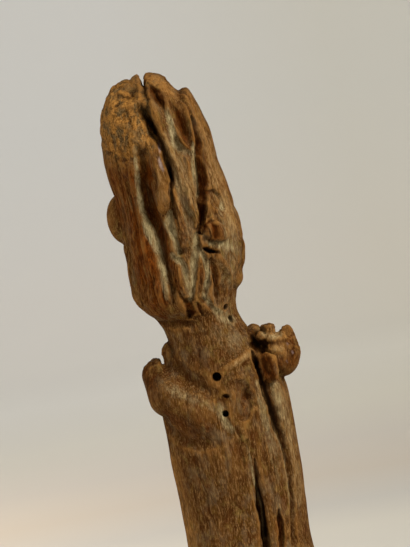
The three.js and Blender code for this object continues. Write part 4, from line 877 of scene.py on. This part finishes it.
def surface_of(values, xs, ys, zs):
    """Points and four-sided faces of the surface where a grid of values, indexed z, y, x, is 0."""
    within = values < 0
    moved = (within[k : k - 1 or None, j : j - 1 or None, i : i - 1 or None] for i, j, k in CORNERS)
    count = sum(corner.astype(np.int8) for corner in moved)
    cells = np.argwhere((count > 0) & (count < 8))
    number = np.full(count.shape, -1, np.int32)
    number[tuple(cells.T)] = np.arange(len(cells))
    kz, jy, ix = cells.T
    at = np.array([values[kz + k, jy + j, ix + i] for i, j, k in CORNERS])
    total = np.zeros((len(cells), 3))
    crossings = np.zeros(len(cells))
    for a, b in CELL_EDGES:
        cut = (at[a] < 0) != (at[b] < 0)
        t = np.where(cut, at[a] / np.where(cut, at[a] - at[b], 1), 0)
        start, step = np.array(CORNERS[a]), np.array(CORNERS[b]) - np.array(CORNERS[a])
        total += cut[:, None] * (start + step * t[:, None])
        crossings += cut
    place = total / crossings[:, None]
    points = np.stack([
        xs[0] + (ix + place[:, 0]) * (xs[1] - xs[0]),
        ys[0] + (jy + place[:, 1]) * (ys[1] - ys[0]),
        zs[0] + (kz + place[:, 2]) * (zs[1] - zs[0]),
    ], axis=1)
    faces = []
    for axis in range(3):  # of the array: 0 is z, 1 is y, 2 is x
        first, second = [n for n in range(3) if n != axis]
        low = np.take(within, range(within.shape[axis] - 1), axis)
        high = np.take(within, range(1, within.shape[axis]), axis)
        cut = np.argwhere(low != high)
        for side in (first, second):
            cut = cut[(cut[:, side] > 0) & (cut[:, side] < within.shape[side] - 1)]
        leaving = within[tuple(cut.T)]
        steps = np.zeros((4, 3), int)
        steps[[1, 2], first] = -1
        steps[[2, 3], second] = -1
        ring = np.stack([number[tuple((cut + step).T)] for step in steps], axis=1)
        turn = leaving if axis == 1 else ~leaving
        faces.append(np.where(turn[:, None], ring, ring[:, ::-1]))
    return points, np.concatenate(faces)


def settle(points, depth):
    """Moves points on to the surface of the field, along its slope."""
    for _ in range(SETTLING_STEPS):
        value = figure_field(*points.T, depth)
        nudged = [figure_field(*(points + NUDGE * direction).T, depth) for direction in np.eye(3)]
        slope = np.stack([(there - value) / NUDGE for there in nudged], axis=1)
        steepness = np.maximum((slope**2).sum(axis=1), LEAST_STEEPNESS)
        move = -slope * (value / steepness)[:, None]
        length = np.maximum(np.linalg.norm(move, axis=1), 1e-9)
        points = points + move * np.minimum(1, LONGEST_MOVE / length)[:, None]
    return points


def fine_surface(depth):
    """The whole figure as points and faces, in millimetres."""
    xs = np.linspace(-REACH, REACH, round(2 * REACH / ACROSS))
    zs = np.linspace(-2 * ALONG, HEIGHT + HEADROOM, round((HEIGHT + HEADROOM) / ALONG))
    y, x = np.meshgrid(xs, xs, indexing="ij")
    values = np.stack([figure_field(x, y, np.full(x.shape, z), depth) for z in zs]).astype(np.float32)
    points, faces = surface_of(values, xs, xs, zs)
    return settle(points, depth), faces


def mesh_from(name, points, faces):
    mesh = bpy.data.meshes.new(name)
    mesh.vertices.add(len(points))
    mesh.vertices.foreach_set("co", (points * MM).ravel())
    mesh.loops.add(faces.size)
    mesh.loops.foreach_set("vertex_index", faces.ravel())
    mesh.polygons.add(len(faces))
    mesh.polygons.foreach_set("loop_start", np.arange(0, faces.size, faces.shape[1]))
    mesh.update(calc_edges=True)
    mesh.validate()
    return mesh


def feed(tree, socket, value):
    """Links a socket to another node's output, or sets it."""
    if isinstance(value, bpy.types.NodeSocket):
        tree.links.new(value, socket)
    else:
        socket.default_value = value


def add_node(tree, kind, inputs, output=0, **settings):
    """An output of a new node whose inputs are fed."""
    node = tree.nodes.new(kind)
    for name, value in settings.items():
        setattr(node, name, value)
    for key, value in inputs.items():
        feed(tree, node.inputs[key], value)
    return node.outputs[output]


# What is raised on the surface: fibres everywhere, crumbs on the crust, splinters at breaks. It all fades out
# at the foot, which stays flat.
WEATHERING = {
    "Fibre width": 1.1 * MM,
    "Fibre length": 16 * MM,
    "Fibre height": 0.42 * MM,
    "Crumb size": 6.5 * MM,
    "Crumb height": 4.2 * MM,
    "Splinter size": 3.4 * MM,
    "Splinter length": 5 * MM,
    "Splinter height": 6 * MM,
    "Foot": 3 * MM,
}


def weathering_tree(wood):
    """Raises the surface along its normals, and gives it its material."""
    tree = bpy.data.node_groups.new("weathering", "GeometryNodeTree")
    tree.interface.new_socket("Geometry", in_out="INPUT", socket_type="NodeSocketGeometry")
    for name in WEATHERING:
        tree.interface.new_socket(name, in_out="INPUT", socket_type="NodeSocketFloat")
    tree.interface.new_socket("Wood", in_out="INPUT", socket_type="NodeSocketMaterial").default_value = wood
    tree.interface.new_socket("Geometry", in_out="OUTPUT", socket_type="NodeSocketGeometry")
    entry = tree.nodes.new("NodeGroupInput").outputs

    def add(kind, inputs, output=0, **settings):
        return add_node(tree, kind, inputs, output, **settings)

    def math_of(operation, *values):
        return add("ShaderNodeMath", dict(enumerate(values)), operation=operation)

    here = add("GeometryNodeInputPosition", {})

    def roughness(width, length, height, detail):
        """Noise of a height, in lumps of a width and length."""
        across = math_of("DIVIDE", 1, width)
        stretch = add("ShaderNodeCombineXYZ", {"X": across, "Y": across, "Z": math_of("DIVIDE", 1, length)})
        place = add("ShaderNodeVectorMath", {0: here, 1: stretch}, operation="MULTIPLY")
        lumps = add("ShaderNodeTexNoise", {"Vector": place, "Scale": 1, "Detail": detail}, "Fac")
        return math_of("MULTIPLY", math_of("SUBTRACT", lumps, 0.5), height)

    def painted(name):
        return add("GeometryNodeInputNamedAttribute", {"Name": name}, "Attribute", data_type="FLOAT")

    fibres = roughness(entry["Fibre width"], entry["Fibre length"], entry["Fibre height"], 2.0)
    crumbs = roughness(entry["Crumb size"], entry["Crumb size"], entry["Crumb height"], 1.8)
    splinters = roughness(entry["Splinter size"], entry["Splinter length"], entry["Splinter height"], 2.2)
    raised = math_of("MULTIPLY_ADD", crumbs, painted("crust"), fibres)
    raised = math_of("MULTIPLY_ADD", splinters, painted("broken"), raised)
    height = add("ShaderNodeSeparateXYZ", {0: here}, "Z")
    clear = add("ShaderNodeMath", {0: height, 1: entry["Foot"]}, operation="DIVIDE", use_clamp=True)
    amount = math_of("MULTIPLY", raised, clear)
    normal = add("GeometryNodeInputNormal", {})
    offset = add("ShaderNodeVectorMath", {0: normal, "Scale": amount}, operation="SCALE")
    moved = add("GeometryNodeSetPosition", {"Geometry": entry["Geometry"], "Offset": offset})
    real = add("GeometryNodeRealizeInstances", {"Geometry": moved})
    finished = add("GeometryNodeSetMaterial", {"Geometry": real, "Material": entry["Wood"]})
    tree.links.new(finished, tree.nodes.new("NodeGroupOutput").inputs[0])
    return tree


def weather(piece, wood):
    modifier = piece.modifiers.new("weathering", "NODES")
    modifier.node_group = weathering_tree(wood)
    for socket in modifier.node_group.interface.items_tree:
        if socket.in_out == "INPUT" and socket.name in WEATHERING:
            modifier[socket.identifier] = WEATHERING[socket.name]
        elif socket.name == "Wood":
            modifier[socket.identifier] = wood


def made_plain(piece):
    """Puts a piece's modifiers into its mesh."""
    made = bpy.data.meshes.new_from_object(piece.evaluated_get(bpy.context.evaluated_depsgraph_get()))
    piece.modifiers.clear()
    piece.data = made


def stain_sheet(strokes):
    sheet = Sheet(STAIN_REACH, STAIN_STEP)
    for path in strokes:
        widened = [[x, z, half_width * STAIN_WIDENING, strength] for x, z, half_width, strength in path]
        sheet.draw(widened, power=1, mix=np.maximum)
    return sheet


def stain(points, strokes):
    """Strength of a stain at points: full on the back, none on the front."""
    x, y, z = points.T
    centre_y = section_at(z)[1]
    behind = ease(np.clip((centre_y + STAIN_FRONT - y) / STAIN_FADE, 0, 1))
    return stain_sheet(strokes).at(x, z) * behind


def set_attribute(mesh, name, values):
    attribute = mesh.attributes.get(name) or mesh.attributes.new(name, "FLOAT", "POINT")
    attribute.data.foreach_set("value", np.asarray(values, np.float32))


def points_of(mesh):
    places = np.empty(len(mesh.vertices) * 3, np.float32)
    mesh.vertices.foreach_get("co", places)
    return places.reshape(-1, 3).astype(float) / MM


def hollowness(mesh):
    """How far each vertex lies below its surroundings, in millimetres."""
    points = points_of(mesh)
    ends = np.empty(len(mesh.edges) * 2, np.int32)
    mesh.edges.foreach_get("vertices", ends)
    a, b = ends.reshape(-1, 2).T
    normals = np.empty(len(points) * 3, np.float32)
    mesh.vertex_normals.foreach_get("vector", normals)
    normals = normals.reshape(-1, 3)
    count = np.bincount(a, minlength=len(points)) + np.bincount(b, minlength=len(points))

    def neighbours(values):
        return (np.bincount(a, values[b], len(points)) + np.bincount(b, values[a], len(points))) / count

    smooth = points.copy()
    for _ in range(HOLLOW_ROUNDS):
        smooth = np.stack([(smooth[:, n] + neighbours(smooth[:, n])) / 2 for n in range(3)], axis=1)
    return ((smooth - points) * normals).sum(axis=1)


def linear(r, g, b):
    """A colour as a picture gives it, from 0 to 255, as the light it stands for."""
    parts = [c / 255 for c in (r, g, b)]
    return [c / 12.92 if c <= 0.04045 else ((c + 0.055) / 1.055) ** 2.4 for c in parts] + [1]


class Finish:
    """A material, with short ways to add to its nodes."""

    def __init__(self, name):
        self.material = bpy.data.materials.new(name)
        self.material.use_nodes = True
        self.tree = self.material.node_tree
        self.place = self.add("ShaderNodeTexCoord", {}, "Object")

    def add(self, kind, inputs, output=0, **settings):
        return add_node(self.tree, kind, inputs, output, **settings)

    def dressed(self, sockets):
        """The material, once its shader's sockets are fed."""
        for name, value in sockets.items():
            feed(self.tree, self.tree.nodes["Principled BSDF"].inputs[name], value)
        return self.material

    def noise(self, width, length, detail, rough):
        """Noise in lumps so many millimetres wide and long."""
        scale = (1 / (width * MM), 1 / (width * MM), 1 / (length * MM))
        place = self.add("ShaderNodeMapping", {"Vector": self.place, "Scale": scale})
        lumps = {"Vector": place, "Scale": 1, "Detail": detail, "Roughness": rough}
        return self.add("ShaderNodeTexNoise", lumps, "Fac")

    def spread(self, value, low, high, to_low=0.0, to_high=1.0):
        """A value from one range carried over to another, and held at its ends."""
        return self.add("ShaderNodeMapRange", {0: value, 1: low, 2: high, 3: to_low, 4: to_high}, "Result")

    def math_of(self, operation, a, b):
        return self.add("ShaderNodeMath", {0: a, 1: b}, operation=operation)

    def mixed(self, factor, a, b, blend="MIX"):
        return self.add("ShaderNodeMix", {0: factor, 6: a, 7: b}, 2, data_type="RGBA", blend_type=blend)

    def painted(self, name):
        return self.add("ShaderNodeAttribute", {}, "Fac", attribute_name=name)


# Noises of the wood: width and length of the lumps, detail, roughness
NOISES = {
    "fibres": [0.7, 3, 4, 0.75],
    "strands": [2.2, 22, 3, 0.55],
    "mottle": [11, 15, 4, 0.6],
    "specks": [0.9, 1.2, 4, 0.7],
    "streaks": [1.5, 4, 4, 0.65],
    "patches": [3.2, 6, 3, 0.6],
    "golden": [4, 6, 3, 0.6],
    "grey": [7, 11, 4, 0.65],
    "sandy": [5, 6, 4, 0.7],
    "russet": [6, 8, 3, 0.65],
    "clods": [3.8, 5, 4, 0.6],
    "pits": [3.2, 3.4, 3, 0.6],
}

# The dark and the light tone of each kind of wood, crust and dust, from 0 to 255; the tan and the dust tones
# also paint highlights
TONES = {
    "brown": [(58, 33, 9), (80, 50, 20)],
    "tan_and_highlight": [(108, 70, 28), (150, 108, 58)],
    "red": [(57, 23, 1), (108, 54, 9)],
    "ochre": [(88, 50, 15), (180, 128, 62)],
    "olive": [(56, 38, 19), (118, 95, 60)],
    "dust_and_highlight": [(94, 78, 46), (162, 146, 108)],
}

# What colours the brown wood: noise, the value of it where the colour starts and where it is full,
# strength, colour
BROWN_LAYERS = [
    ["golden", 0.5, 0.72, 0.5, (106, 76, 30)],
    ["strands", 0.6, 0.36, 0.6, (54, 27, 4)],
    ["fibres", 0.5, 0.66, 0.8, (132, 98, 58)],
    ["fibres", 0.46, 0.3, 0.75, (42, 20, 3)],
    ["grey", 0.5, 0.66, 0.42, (110, 92, 66)],
    ["sandy", 0.55, 0.68, 0.4, (122, 100, 50)],
    ["russet", 0.46, 0.34, 0.4, (70, 34, 10)],
]
RED_LAYERS = [["patches", 0.5, 0.62, 0.8, (46, 17, 1)]]
CRUST_LAYERS = [["pits", 0.54, 0.72, 0.8, (40, 20, 4)]]

# Colours laid over the wood: worn ridges that are also a painted highlight, painted shade in hollows,
# shadowed places, cracks and the deepest furrows, and a painted glint
WORN_AND_LIT_EDGE = (134, 92, 44)
HOLLOW = (54, 28, 5)
SHADE_AND_DARK_WOOD = (42, 18, 1)
CRACK = (34, 16, 2)
BLACK = (16, 6, 0)
GLINT = (150, 132, 130)


def wood_colour(finish, lumps):
    """Brown wood, then its orange, bare and crusted places, and dust over them all; painted highlights on
    ridges and lit places, painted shade in hollows, cracks and furrows, and painted glints.
    """
    mixed, spread, painted = finish.mixed, finish.spread, finish.painted

    def two_tone(name, noise, low, high):
        dark, light = TONES[name]
        return mixed(spread(lumps[noise], low, high), linear(*dark), linear(*light))

    def layered(colour, layers):
        for noise, low, high, strength, over in layers:
            colour = mixed(spread(lumps[noise], low, high, 0, strength), colour, linear(*over))
        return colour

    def ragged(name, noise, most):
        """A stain whose edge is broken up by noise."""
        worn = finish.math_of("MULTIPLY", painted(name), spread(lumps[noise], 0.34, 0.6, 0.5, 1.3))
        worn = finish.math_of("MULTIPLY", worn, spread(lumps["patches"], 0.36, 0.6, 0.55, 1.2))
        return spread(worn, 0.12, 1, 0, most)

    wood = layered(two_tone("brown", "mottle", 0.38, 0.62), BROWN_LAYERS)
    red = layered(two_tone("red", "fibres", 0.36, 0.66), RED_LAYERS)
    # orange wood, and painted warm shade on shadowed walls
    wood = mixed(ragged("red", "strands", 0.95), wood, red)
    # bare wood, and painted highlights on lit places
    wood = mixed(ragged("tan_and_highlight", "streaks", 0.9), wood, two_tone("tan_and_highlight", "fibres", 0.35, 0.65))
    ochre = two_tone("ochre", "specks", 0.36, 0.6)
    olive = two_tone("olive", "specks", 0.4, 0.6)
    crust = layered(mixed(spread(lumps["clods"], 0.46, 0.58), ochre, olive), CRUST_LAYERS)
    wood = mixed(finish.math_of("MULTIPLY", painted("crust"), 0.9), wood, crust)
    # wear and painted highlight on ridges, painted shade in hollows
    wood = mixed(spread(painted("hollow"), -0.1, -0.6, 0, 0.5), wood, linear(*WORN_AND_LIT_EDGE))
    wood = mixed(spread(painted("hollow"), 0.1, 0.8, 0, 0.6), wood, linear(*HOLLOW))
    # dust, and painted highlights on lit walls and faces
    wood = mixed(ragged("dust_and_highlight", "streaks", 0.95), wood, two_tone("dust_and_highlight", "fibres", 0.35, 0.65))
    # painted shade, and darker wood
    wood = mixed(ragged("dark", "streaks", 0.9), wood, linear(*SHADE_AND_DARK_WOOD))
    # painted shade in the cracks
    wood = mixed(finish.math_of("MULTIPLY", painted("crack"), 0.4), wood, linear(*CRACK))
    # painted shade: the deepest furrows and the bottoms that no light reaches go nearly black
    wood = mixed(spread(painted("deep"), 9, 15, 0, 0.95), wood, linear(*BLACK))
    # painted glints
    return mixed(ragged("polish_and_glint", "specks", 0.8), wood, linear(*GLINT))


def wood_relief(finish, lumps):
    """Fine fibres and strands, and grains that stand out more in the crust."""
    fibres = finish.math_of("MULTIPLY", lumps["fibres"], 0.9)
    strands = finish.math_of("MULTIPLY", lumps["strands"], 0.5)
    standing = finish.spread(finish.painted("crust"), 0, 1, 0.35, 1.2)
    grains = finish.math_of("MULTIPLY", lumps["specks"], standing)
    relief = finish.math_of("ADD", finish.math_of("ADD", fibres, strands), grains)
    return finish.add("ShaderNodeBump", {"Strength": 1, "Distance": 0.9 * MM, "Height": relief})


def weathered_wood():
    """Old dry wood: fibres along the grain, dust in the furrows, orange and crusted places, with painted
    highlights, glints and shade in cracks, hollows and furrows.
    """
    finish = Finish("weathered wood")
    lumps = {name: finish.noise(*sizes) for name, sizes in NOISES.items()}
    polish_and_glint = finish.painted("polish_and_glint")
    rough = finish.spread(lumps["specks"], 0.3, 0.7, 0.68, 0.86)
    rough = finish.math_of("SUBTRACT", rough, finish.math_of("MULTIPLY", polish_and_glint, 0.46))
    gloss = finish.math_of("ADD", finish.math_of("MULTIPLY", polish_and_glint, 0.5), 0.02)
    return finish.dressed({
        "Base Color": wood_colour(finish, lumps),
        "Roughness": rough,
        "Specular IOR Level": gloss,
        "Normal": wood_relief(finish, lumps),
    })


def carving():
    """The whole figure as one mesh, with what its finish needs to know at each vertex."""
    wood = weathered_wood()
    worked, cracks = carve()
    points, faces = fine_surface(worked)
    mesh = mesh_from("figure_carving", points, faces)
    set_attribute(mesh, "crust", stain(points, CRUST))
    set_attribute(mesh, "broken", stain(points, BROKEN))
    piece = bpy.data.objects.new("figure_carving", mesh)
    bpy.context.scene.collection.objects.link(piece)
    weather(piece, wood)
    thinning = piece.modifiers.new("thinning", "DECIMATE")
    thinning.ratio = TRIANGLES / (2 * len(faces))
    made_plain(piece)
    mesh = piece.data
    mesh.shade_smooth()
    points = points_of(mesh)
    x, y, z = points.T
    for name, strokes in STAINS.items():
        set_attribute(mesh, name, stain(points, strokes))
    girth = around(x, y, z)
    # cracks, furrow depth and hollowness, from which the wood's painted shade is made
    set_attribute(mesh, "crack", cracks.at(girth, z) * (z > CROTCH))
    # painted shade: deep furrows, and the bottoms that no light reaches, darken the wood
    deep = worked.at(girth, z) * (z > CROTCH) * (np.hypot(x, y) < DEEP_REACH)
    set_attribute(mesh, "deep", np.maximum(deep, GLOOM_DEPTH * stain(points, GLOOM)))
    set_attribute(mesh, "hollow", hollowness(mesh))
    return piece


figure = carving()
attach(figure, "root")
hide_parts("figure")

# Studio and camera
TARGET = Vector((1.8, -14, 326.5)) * MM
DISTANCE = 1.5
ELEVATION = math.radians(4)
ROLL = math.radians(10)
FRAME_HEIGHT = 273.5 * MM
SENSOR = 36


def add_camera():
    camera = bpy.data.objects.new("camera", bpy.data.cameras.new("camera"))
    bpy.context.scene.collection.objects.link(camera)
    camera.data.sensor_width = SENSOR
    camera.data.lens = SENSOR * DISTANCE / FRAME_HEIGHT
    camera.data.clip_start = 0.01
    back = Vector((0, -math.cos(ELEVATION), math.sin(ELEVATION)))
    up = Vector((0, math.sin(ELEVATION), math.cos(ELEVATION)))
    up = up * math.cos(ROLL) + Vector((1, 0, 0)) * math.sin(ROLL)
    right = up.cross(back)
    turn = Matrix((right, up, back)).transposed().to_4x4()
    camera.matrix_world = Matrix.Translation(TARGET + back * DISTANCE) @ turn
    bpy.context.scene.camera = camera


def add_light(name, place, size, power, colour, aim=TARGET):
    light = bpy.data.objects.new(name, bpy.data.lights.new(name, "AREA"))
    bpy.context.scene.collection.objects.link(light)
    light.data.size = size
    light.data.energy = power
    light.data.color = colour
    light.visible_camera = False
    light.location = place
    light.rotation_euler = (Vector(aim) - Vector(place)).to_track_quat("-Z", "Y").to_euler()


BOWL_FLOOR = 3.0
BOWL_RISE = 1.6
BOWL_TOP = 3.4
BOWL_SIDES = 96
BOWL_STEPS = 12
# The paper's colour at distances from the figure, in metres, with the fall of light and shade over it painted
# in
PAPER = [
    [1.15, (195, 193, 187)],
    [1.3, (184, 183, 181)],
    [1.5, (190, 184, 177)],
    [1.75, (201, 197, 192)],
    [2.1, (223, 220, 211)],
    [2.6, (242, 239, 232)],
    [3.1, (247, 243, 236)],
    [3.5, (243, 239, 233)],
    [4, (238, 237, 234)],
]
PAPER_REACH = 4
# Painted shade on the right side of the paper:
PAPER_SHADE = (249, 247, 240)  # it is a little darker and yellower from the first place across to the second
SHADE_FROM = -0.1
SHADE_TO = 0.3


def backdrop_paper():
    """Pale matt paper with painted light and shade: its colour changes with the distance from the figure and
    a little across.
    """
    finish = Finish("backdrop")
    away = finish.add("ShaderNodeVectorMath", {0: finish.place}, "Value", operation="LENGTH")
    share = finish.math_of("DIVIDE", away, PAPER_REACH)
    colour = finish.add("ShaderNodeValToRGB", {"Fac": share}, "Color")
    stops = colour.node.color_ramp.elements
    for _ in PAPER[2:]:
        stops.new(0.99)
    for stop, (distance, tone) in zip(stops, PAPER):
        stop.position = distance / PAPER_REACH
        stop.color = linear(*tone)
    across = finish.add("ShaderNodeSeparateXYZ", {0: finish.place}, "X")
    shade = finish.spread(across, SHADE_FROM, SHADE_TO)
    colour = finish.mixed(shade, colour, linear(*PAPER_SHADE), "MULTIPLY")
    return finish.dressed({"Base Color": colour, "Roughness": 0.95})


def add_bowl():
    """A pale floor that curves up into a wall all round."""
    profile = [(BOWL_FLOOR, 0.0)]
    for a in np.linspace(0, math.pi / 2, BOWL_STEPS + 1)[1:]:
        profile.append((BOWL_FLOOR + BOWL_RISE * math.sin(a), BOWL_RISE * (1 - math.cos(a))))
    profile.append((BOWL_FLOOR + BOWL_RISE, BOWL_TOP))
    turns = np.arange(BOWL_SIDES) * 2 * math.pi / BOWL_SIDES
    points = [(0, 0, 0)] + [(r * math.cos(t), r * math.sin(t), z) for r, z in profile for t in turns]
    faces = [[0, 1 + k, 1 + (k + 1) % BOWL_SIDES] for k in range(BOWL_SIDES)]
    for ring in range(len(profile) - 1):
        first = 1 + ring * BOWL_SIDES
        for k in range(BOWL_SIDES):
            a, b = first + k, first + (k + 1) % BOWL_SIDES
            faces.append([a, a + BOWL_SIDES, b + BOWL_SIDES, b])
    mesh = bpy.data.meshes.new("backdrop")
    mesh.from_pydata(points, [], faces)
    mesh.shade_smooth()
    mesh.materials.append(backdrop_paper())
    bowl = bpy.data.objects.new("backdrop", mesh)
    bpy.context.scene.collection.objects.link(bowl)


add_camera()
add_bowl()
add_light("key", (1.5, -1.15, 1.6), 0.7, 84, (1, 0.97, 0.92))
add_light("fill", (-1.9, -0.7, 1.0), 1.2, 28, (1, 0.965, 0.9))
add_light("glow", (-0.5, 1.35, 0.5), 0.4, 2.6, (1, 0.78, 0.5), (-0.42, 1.35, 0))
world = bpy.data.worlds.new("world")
bpy.context.scene.world = world
world.use_nodes = True
world.node_tree.nodes["Background"].inputs["Color"].default_value = (0.98, 0.99, 1, 1)
world.node_tree.nodes["Background"].inputs["Strength"].default_value = 0.38
bpy.context.scene.view_settings.view_transform = "Standard"
